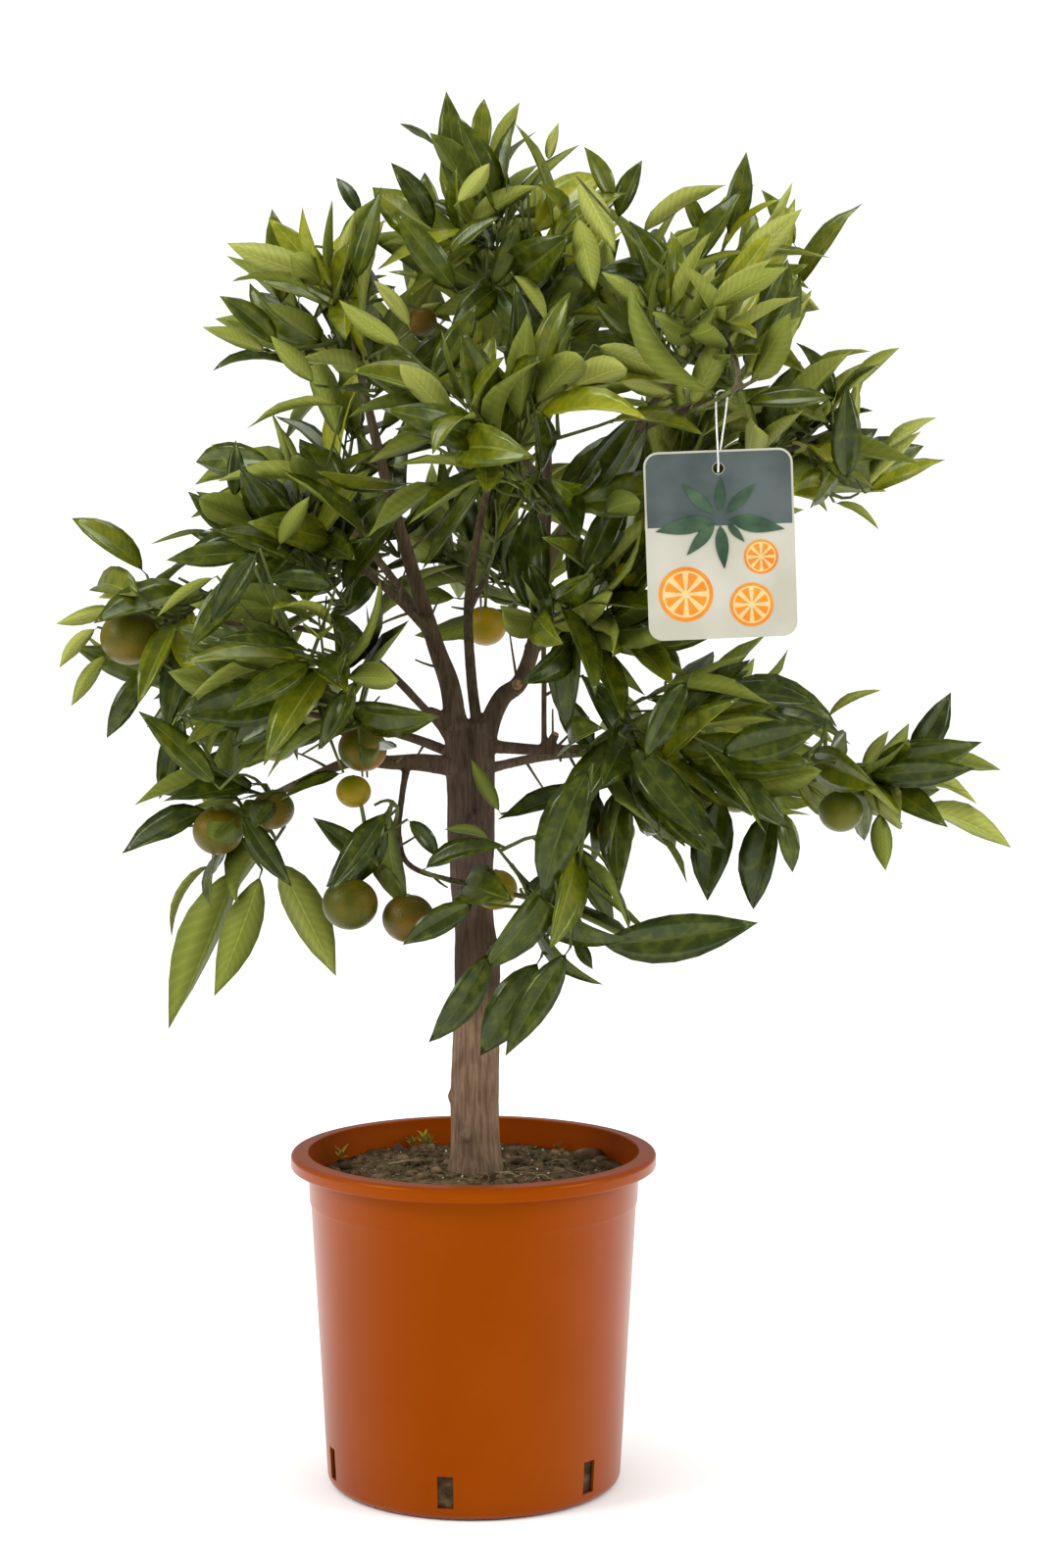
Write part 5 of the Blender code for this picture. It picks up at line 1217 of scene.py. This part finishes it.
masses = [Mass(mass_name) for mass_name in MASSES]
for mass in masses:
    mass.grow_outer()
for mass in masses:
    mass.grow_rest()

# Short dry spurs stand off the boughs inside the crown
SPUR_SHARES = (0.30, 0.48, 0.66, 0.84)
SPUR_LENGTHS = (0.010, 0.034)
SPUR_RADII = (0.0010, 0.0005)
spur_dice = random.Random(23)
for foot_radius, tip_radius, places in BOUGHS.values():
    bough_route = smooth_route(places, 4)
    for share in SPUR_SHARES:
        spot, heading = on_route(bough_route, share)
        side = Matrix.Rotation(spur_dice.uniform(0, math.tau), 3, heading) @ across(heading, UP)
        end = spot + (side + heading * spur_dice.uniform(0.2, 1.0)).normalized() * spur_dice.uniform(*SPUR_LENGTHS)
        if crowding.free(end) and not in_sky(end):
            woody_lines.append((bowed(spot, end, spur_dice.uniform(-0.002, 0.003)), even_radii(*SPUR_RADII, 5)))
foliage_nodes = ["foliage_" + name for name in MASSES]

woody_twigs = tubes("twigs_woody", woody_lines, 8)
woody_skin = material("woody_twig", BARK_YOUNG, 0.75)
paint(woody_skin, graded(woody_skin, noise_in_object(woody_skin, 190, 4), (
    (0.36, (0.050, 0.040, 0.020, 1)), (0.64, (0.115, 0.095, 0.045, 1)),
)))
woody_twigs.data.materials.append(woody_skin)
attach(woody_twigs, "root")
green_twigs = tubes("twigs_green", green_lines, 6)
green_skin = material("green_twig", (0.080, 0.115, 0.024, 1), 0.55)
paint(green_skin, graded(green_skin, noise_in_object(green_skin, 120, 3), (
    (0.36, (0.045, 0.055, 0.012, 1)), (0.64, (0.105, 0.128, 0.024, 1)),
)))
green_twigs.data.materials.append(green_skin)
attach(green_twigs, "root")


def scaled(colour, share):
    return tuple(value * share for value in colour[:3]) + (1,)


def blade_factors(made):
    """Two factors by the place on the blade: waves along the side veins, and how far it is from the rib."""
    links = made.node_tree.links
    spots = add_node(made, "ShaderNodeUVMap", uv_map="blade")
    axes = add_node(made, "ShaderNodeSeparateXYZ")
    links.new(spots.outputs["UV"], axes.inputs["Vector"])
    from_rib = add_node(made, "ShaderNodeMath", operation="SUBTRACT")
    links.new(axes.outputs["Y"], from_rib.inputs[0])
    from_rib.inputs[1].default_value = 0.5
    beside = add_node(made, "ShaderNodeMath", operation="ABSOLUTE")
    links.new(from_rib.outputs["Value"], beside.inputs[0])
    slant = add_node(made, "ShaderNodeMath", operation="MULTIPLY_ADD")
    links.new(beside.outputs["Value"], slant.inputs[0])
    slant.inputs[1].default_value = -0.32
    links.new(axes.outputs["X"], slant.inputs[2])
    repeated = add_node(made, "ShaderNodeMath", operation="MULTIPLY")
    links.new(slant.outputs["Value"], repeated.inputs[0])
    repeated.inputs[1].default_value = 13
    wave = add_node(made, "ShaderNodeMath", operation="PINGPONG")
    links.new(repeated.outputs["Value"], wave.inputs[0])
    wave.inputs[1].default_value = 0.5
    return wave.outputs["Value"], beside.outputs["Value"]


for tint, (upper, under, rib, mottling) in TINTS.items():
    upper_skin = material("leaf_upper_" + tint, upper, 0.26, 0.42, LEAF_SHEEN)
    wave, beside = blade_factors(upper_skin)
    veins = graded(upper_skin, wave, ((0.02, scaled(upper, 1.14)), (0.14, upper), (0.50, scaled(upper, 0.96))))
    margin_tint = graded(upper_skin, beside, (
        (0.10, (1.10, 1.08, 1.05, 1)), (0.30, (1.00, 1.00, 1.00, 1)), (0.44, (0.95, 0.97, 1.00, 1)),
        (0.49, (1.35, 1.30, 1.20, 1)),
    ))
    mottled = graded(upper_skin, noise_in_object(upper_skin, 130, 5), (
        (0.38, (0.72, 0.76, 0.80, 1)), (0.50, (1, 1, 1, 1)), (0.64, (mottling, mottling * 0.88, 1, 1)),
    ))
    blade_tint = blended(upper_skin, 1.0, veins, margin_tint, "MULTIPLY")
    paint(upper_skin, blended(upper_skin, 1.0, blade_tint, mottled, "MULTIPLY"))
    roughen(upper_skin, wave, 0.12, 0.0003)
    under_skin = material("leaf_under_" + tint, under, 0.60, 0.20, LEAF_SHEEN)
    wave, beside = blade_factors(under_skin)
    veins = graded(under_skin, wave, ((0.02, scaled(under, 1.16)), (0.14, under), (0.50, scaled(under, 0.93))))
    # A pale rib down the underside in its own colour, with a narrow darker band beside it that is painted shade of the
    # raised rib.
    pale_rib_and_shade = graded(under_skin, beside, (
        (0.010, (1.45, 1.42, 1.60, 1)), (0.030, (0.88, 0.88, 0.85, 1)), (0.090, (1.00, 1.00, 1.00, 1)),
    ))
    paint(under_skin, blended(under_skin, 1.0, veins, pale_rib_and_shade, "MULTIPLY"))
    rib_skin = material("leaf_rib_" + tint, rib, 0.45, 0.25)
    paint(rib_skin, graded(rib_skin, noise_in_object(rib_skin, 80, 2), (
        (0.36, scaled(rib, 0.85)), (0.64, scaled(rib, 1.15)),
    )))
    leaves = piece_of_copies(
        "leaves_" + tint, leaf_copies[tint], blade_faces, [upper_skin, under_skin, rib_skin], blade_slots, blade_spots
    )
    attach(leaves, "root")
    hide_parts(*foliage_nodes)

# The fruit hangs from green stalks: slightly flattened balls with a pitted rind, each with its small calyx.
FRUIT_SEGMENTS = 40
FRUIT_RINGS = 26
RIND_SHEEN = (1.00, 0.90, 0.55, 1)
RINDS = {
    "green": ((0.052, 0.070, 0.004, 1), (0.096, 0.100, 0.006, 1)),
    "olive": ((0.052, 0.054, 0.002, 1), (0.120, 0.078, 0.002, 1)),
    "brown": ((0.044, 0.042, 0.002, 1), (0.105, 0.054, 0.002, 1)),
    "turning": ((0.060, 0.062, 0.002, 1), (0.270, 0.088, 0.002, 1)),
    "yellow": ((0.140, 0.130, 0.001, 1), (0.270, 0.165, 0.002, 1)),
}
# How ripe each fruit is, in the order of the table of masses
RIPENESS = (
    "brown", "olive", "turning", "olive", "olive", "olive", "brown", "yellow", "yellow",
    "yellow", "yellow", "green", "olive", "turning", "olive", "turning", "yellow",
)
fruit_dice = random.Random(3)


def fruit_ball():
    """Points and faces of a ball of radius 1 with a dimple at its top."""
    shape = bmesh.new()
    bmesh.ops.create_uvsphere(shape, u_segments=FRUIT_SEGMENTS, v_segments=FRUIT_RINGS, radius=1)
    points = np.array([vertex.co for vertex in shape.verts])
    faces = [[vertex.index for vertex in face.verts] for face in shape.faces]
    shape.free()
    away = np.hypot(points[:, 0], points[:, 1])
    points[:, 2] *= 0.93
    points[:, 2] -= np.where(points[:, 2] > 0, 0.10 * np.exp(-(away / 0.22) ** 2), 0)
    return points, faces


rind_ball = fruit_ball()
rind_copies = {ripeness: [] for ripeness in RINDS}
calyx_copies = []
calyx_points = np.array(
    [(0, 0, 0.14), (0, 0, -0.02)]
    + [
        (
            (0.34 if corner % 2 == 0 else 0.16) * math.cos(math.tau * corner / 10),
            (0.34 if corner % 2 == 0 else 0.16) * math.sin(math.tau * corner / 10),
            -0.03,
        )
        for corner in range(10)
    ]
)
calyx_faces = [(0, 2 + corner, 2 + (corner + 1) % 10) for corner in range(10)]
calyx_faces += [(1, 2 + (corner + 1) % 10, 2 + corner) for corner in range(10)]
for (spot, radius), ripeness in zip(all_fruit, RIPENESS):
    turn = np.array(Matrix.Rotation(fruit_dice.uniform(0, math.tau), 3, "Z") @ Matrix.Rotation(
        fruit_dice.uniform(-0.25, 0.25), 3, "X"))
    rind_copies[ripeness].append(rind_ball[0] * radius @ turn.T + np.array(spot))
    top = np.array(spot + UP * radius * 0.82)
    calyx_copies.append(calyx_points * radius @ turn.T + top)
for ripeness, (first, second) in RINDS.items():
    rind = material("rind_" + ripeness, first, 0.34, 0.28, RIND_SHEEN)
    paint(rind, graded(rind, noise_in_object(rind, 36, 5), ((0.40, first), (0.60, second))))
    roughen(rind, noise_in_object(rind, 1000, 3), 0.75, 0.0005)
    fruit = piece_of_copies("fruit_" + ripeness, rind_copies[ripeness], rind_ball[1], [rind])
    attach(fruit, "root")
calyx_skin = material("calyx", (0.120, 0.150, 0.040, 1), 0.7)
paint(calyx_skin, graded(calyx_skin, noise_in_object(calyx_skin, 200, 2), (
    (0.36, (0.085, 0.090, 0.030, 1)), (0.64, (0.160, 0.195, 0.055, 1)),
)))
calyxes = piece_of_copies("fruit_calyxes", calyx_copies, calyx_faces, [calyx_skin])
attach(calyxes, "root")


# Seedlings
# Small weeds and a pale sprout that have come up in the soil by the pot's wall.
SEEDLINGS = (
    # foot x and y, how many leaves, their length, tint
    (-0.034, 0.084, 12, 0.0070, "young"), (-0.030, 0.080, 9, 0.0060, "fresh"), (-0.041, 0.081, 7, 0.0060, "fresh"),
    (-0.083, 0.036, 6, 0.0080, "young"), (0.050, 0.074, 5, 0.0050, "mid"),
)
seedling_dice = random.Random(8)
seedling_leaves = {tint: [] for tint in TINTS}
seedling_stems = []
for x, y, count, length, tint in SEEDLINGS:
    foot = Vector((x, y, soil_height(x, y)))
    top = foot + Vector((0.002, -0.001, length))
    seedling_stems.append(([foot - UP * 0.002, foot + UP * 0.005, top], [0.0005, 0.0004, 0.0003]))
    for number in range(count):
        share = 0.35 + 0.65 * number / (count - 1)
        turn = number * GOLDEN_ANGLE
        direction = Vector((math.cos(turn), math.sin(turn), 0.2 + 0.9 * share)).normalized()
        face = across(direction, UP)
        size = length * seedling_dice.uniform(0.7, 1.1)
        frame_of_leaf = np.array((direction, face.cross(direction), face))
        shape = seedling_dice.choice(old_shapes)
        seedling_leaves[tint].append(shape * size @ frame_of_leaf + np.array(foot.lerp(top, share)))
for tint, copies in seedling_leaves.items():
    if copies:
        skins = [bpy.data.materials[f"leaf_{side}_{tint}"] for side in ("upper", "under", "rib")]
        sprouts = piece_of_copies("seedling_leaves_" + tint, copies, blade_faces, skins, blade_slots, blade_spots)
        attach(sprouts, "root")
seedling_stalks = tubes("seedling_stems", seedling_stems, 6)
seedling_stalks.data.materials.append(green_skin)
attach(seedling_stalks, "root")


# Label
# A laminated card with rounded corners, punched at the top. Its print is a plain pattern of its own: a dark
# upper field, a pale lower one, and a few cut citrus slices and leaves.
CARD_THICKNESS = 0.0008
CARD_CORNER = 0.008
CARD_HOLE_RADIUS = 0.003
CARD_LEAN = math.radians(2.2)
CARD_TURN = math.radians(3)
PRINT_THICKNESS = 0.00012
PRINT_MARGIN = 0.0012
SLATE_SHARE = 0.60  # how high up the card the dark field starts
# Cut slices: x, height above the card's lower edge, and radius
SLICES = ((-0.020, 0.025, 0.0150), (0.016, 0.018, 0.0120), (0.022, 0.044, 0.0095))
SLICE_SEGMENTS = 8
# Leaves of the print: x, height above the dark field's lower edge, turn, and length
PRINTED_LEAVES = (
    (-0.004, 0.003, 3.30, 0.032), (-0.003, 0.001, 3.95, 0.023), (0.005, 0.003, -0.20, 0.031),
    (0.004, 0.001, -0.85, 0.014), (0, 0, -1.50, 0.024), (0.004, 0.007, 0.75, 0.022), (-0.004, 0.007, 2.35, 0.023),
    (0, 0.008, 1.50, 0.019),
)
card_place = (
    Matrix.Translation(CARD_HOLE)
    @ Matrix.Rotation(CARD_TURN, 4, "Z")
    @ Matrix.Rotation(-CARD_LEAN, 4, "Y")
    @ Matrix.Rotation(math.pi / 2, 4, "X")
)
half_card = CARD_SIZE[0] / 2
card_high = CARD_HOLE_DROP
card_low = card_high - CARD_SIZE[1]
slate_low = card_low + CARD_SIZE[1] * SLATE_SHARE


def rounded(left, right, low, high, corners):
    """The outline of a rectangle with its own radius at each corner, from the top right one round."""
    outline = []
    spots = ((right, high, -1, -1), (left, high, 1, -1), (left, low, 1, 1), (right, low, -1, 1))
    for quarter, ((x, y, inward_x, inward_y), radius) in enumerate(zip(spots, corners)):
        for step in range(9):
            angle = math.pi / 2 * (quarter + step / 8)
            outline.append((
                x + inward_x * radius + radius * math.cos(angle), y + inward_y * radius + radius * math.sin(angle)
            ))
    return outline


def ring(x, y, radius, steps, first=0.0, last=math.tau):
    """Places round a circle, or round a part of it."""
    return [
        (x + radius * math.cos(first + (last - first) * step / steps),
         y + radius * math.sin(first + (last - first) * step / steps))
        for step in range(steps)
    ]


def printed_leaf(x, y, turn, length):
    """The outline of a leaf of the print, pointed at both ends."""
    outline = []
    for step in range(20):
        share = step / 10 if step < 10 else (20 - step) / 10
        side = (1 if step < 10 else -1) * 0.15 * math.sin(math.pi * share ** 0.8)
        outline.append((
            x + length * (share * math.cos(turn) - side * math.sin(turn)),
            y + length * (share * math.sin(turn) + side * math.cos(turn)),
        ))
    return outline


def plate(name, outlines, thickness, lift, made):
    """Flat plates with these outlines, inner ones cut out, on the card's plane and this far in front of it."""
    curve = bpy.data.curves.new(name, "CURVE")
    curve.dimensions = "2D"
    curve.fill_mode = "BOTH"
    curve.extrude = thickness / 2
    for outline in outlines:
        spline = curve.splines.new("POLY")
        spline.points.add(len(outline) - 1)
        for point, (x, y) in zip(spline.points, outline):
            point.co = (x, y, 0, 1)
        spline.use_cyclic_u = True
    drawn = bpy.data.objects.new(name, curve)
    bpy.context.scene.collection.objects.link(drawn)
    drawn.matrix_world = card_place @ Matrix.Translation((0, 0, lift))
    activate(drawn)
    bpy.ops.object.convert(target="MESH")
    flat = bpy.context.object
    bpy.ops.object.transform_apply(location=True, rotation=True, scale=True)
    bpy.ops.object.mode_set(mode="EDIT")
    bpy.ops.mesh.select_all(action="SELECT")
    bpy.ops.mesh.remove_doubles(threshold=0.000002)
    bpy.ops.mesh.normals_make_consistent(inside=False)
    bpy.ops.object.mode_set(mode="OBJECT")
    flat.data.materials.append(made)
    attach(flat, "root")
    return flat


def printed(name, colour, second, scale):
    """A printed, laminated colour that clouds into a second one."""
    made = material(name, colour, 0.30, 0.25)
    paint(made, graded(made, noise_in_object(made, scale, 3), ((0.38, colour), (0.66, second))))
    return made


stock = printed("card_stock", (0.400, 0.385, 0.305, 1), (0.470, 0.455, 0.385, 1), 26)
slate = printed("print_slate", (0.045, 0.060, 0.056, 1), (0.085, 0.108, 0.104, 1), 30)
orange_print = printed("print_orange", (0.600, 0.165, 0.010, 1), (0.720, 0.250, 0.018, 1), 60)
pale_print = printed("print_pale", (0.580, 0.420, 0.170, 1), (0.640, 0.500, 0.240, 1), 60)
green_print = printed("print_green", (0.022, 0.050, 0.030, 1), (0.060, 0.110, 0.055, 1), 60)
card = plate(
    "label_card_body",
    [rounded(-half_card, half_card, card_low, card_high, [CARD_CORNER] * 4), ring(0, 0, CARD_HOLE_RADIUS, 24)],
    CARD_THICKNESS, 0, stock,
)
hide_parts("label_card")
slices = [(x, card_low + height, radius) for x, height, radius in SLICES]
segments = []
for x, y, radius in slices:
    for number in range(SLICE_SEGMENTS):
        middle = math.tau * (number + 0.5) / SLICE_SEGMENTS
        hub = (x + radius * 0.14 * math.cos(middle), y + radius * 0.14 * math.sin(middle))
        segments.append([hub, *ring(*hub, radius * 0.64, 6, middle - 0.30, middle + 0.40)])
corner = CARD_CORNER - PRINT_MARGIN
field = rounded(-half_card + PRINT_MARGIN, half_card - PRINT_MARGIN, slate_low, card_high - PRINT_MARGIN,
                (corner, corner, 0.0001, 0.0001))
layers = (
    ("label_upper_field", [field, ring(0, 0, CARD_HOLE_RADIUS + 0.0004, 24)], 0, slate),
    ("label_rinds", [ring(x, y, radius, 40) for x, y, radius in slices], 0, orange_print),
    ("label_piths", [ring(x, y, radius * 0.86, 40) for x, y, radius in slices], 1, pale_print),
    ("label_segments", segments, 2, orange_print),
    ("label_leaves", [printed_leaf(x, slate_low + y, turn, size) for x, y, turn, size in PRINTED_LEAVES], 3, green_print),
)
for name, outlines, layer, made in layers:
    lift = CARD_THICKNESS / 2 + PRINT_THICKNESS * (layer + 0.5)
    plate(name, outlines, PRINT_THICKNESS, lift, made)


# Thread
# A loop of white twisted cotton, half a millimetre thick, through the card's hole and over the bough.
THREAD_TOP = Vector((0.1380, -0.1500, 0.6500))
THREAD_RADIUS = 0.0005
THREAD_HALF_WIDTHS = (0.0019, 0.0031)
THREAD_STEPS = 16


def thread_route():
    """Up one side, over the bough, down the other and through the hole, a quarter turned on its way."""
    rise = THREAD_TOP - CARD_HOLE
    low, high = THREAD_HALF_WIDTHS
    route = []

    def add(share, sideways, lift):
        turn = (1 - share) * math.pi / 2
        route.append(CARD_HOLE + rise * share + Vector((math.cos(turn), math.sin(turn), 0)) * sideways + UP * lift)

    for step in range(THREAD_STEPS):
        share = step / THREAD_STEPS
        add(share, low + (high - low) * share, 0)
    for step in range(THREAD_STEPS):
        angle = math.pi * step / THREAD_STEPS
        add(1, high * math.cos(angle), high * math.sin(angle))
    for step in range(THREAD_STEPS):
        share = 1 - step / THREAD_STEPS
        add(share, -low - (high - low) * share, 0)
    for step in range(THREAD_STEPS):
        angle = math.pi * step / THREAD_STEPS
        add(0, -low * math.cos(angle), -low * math.sin(angle))
    return route


thread_places = thread_route()
thread = tubes("label_thread_loop", [(thread_places + thread_places[:2], [THREAD_RADIUS] * (len(thread_places) + 2))], 8)
cotton = material("cotton", (0.800, 0.800, 0.780, 1), 0.85)
paint(cotton, graded(cotton, noise_in_object(cotton, 1500, 2, (1, 1, 0.4)), (
    (0.36, (0.560, 0.560, 0.540, 1)), (0.60, (0.860, 0.860, 0.840, 1)),
)))
thread.data.materials.append(cotton)
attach(thread, "root")
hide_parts("label_thread")


# Floor and light
# A pale floor that runs out into a near-white surround, with three broad soft lamps.
bpy.ops.object.select_all(action="DESELECT")
bpy.ops.mesh.primitive_circle_add(vertices=96, radius=5, fill_type="NGON", location=(0, 0, -0.0004))
floor = bpy.context.object
floor.name = "floor"
floor_paint = material("floor", (0.960, 0.960, 0.955, 1), 0.8, 0)
paint(floor_paint, graded(floor_paint, noise_in_object(floor_paint, 2, 2), (
    (0.30, (0.955, 0.955, 0.950, 1)), (0.70, (0.965, 0.965, 0.960, 1)),
)))
floor.data.materials.append(floor_paint)
world = bpy.data.worlds.new("surround")
world.use_nodes = True
world.node_tree.nodes["Background"].inputs["Color"].default_value = (1, 1, 1, 1)
paths = world.node_tree.nodes.new("ShaderNodeLightPath")
dimmed = world.node_tree.nodes.new("ShaderNodeMath")
dimmed.operation = "MULTIPLY_ADD"
world.node_tree.links.new(paths.outputs["Is Glossy Ray"], dimmed.inputs[0])
dimmed.inputs[1].default_value = -0.75  # less in reflections
dimmed.inputs[2].default_value = 1.08
world.node_tree.links.new(dimmed.outputs["Value"], world.node_tree.nodes["Background"].inputs["Strength"])
bpy.context.scene.world = world
for name, spot, size, power in (
    ("left", (-1.8, -0.9, 1.6), 0.9, 30), ("right", (1.9, -0.7, 1.2), 0.9, 20), ("above", (0.2, 0.3, 2.6), 1.2, 22),
):
    aim = (Vector((0.03, 0, 0.5)) - Vector(spot)).to_track_quat("-Z", "Y").to_euler()
    bpy.ops.object.light_add(type="AREA", location=spot, rotation=aim)
    lamp = bpy.context.object
    lamp.name = name
    lamp.data.size = size
    lamp.data.energy = power
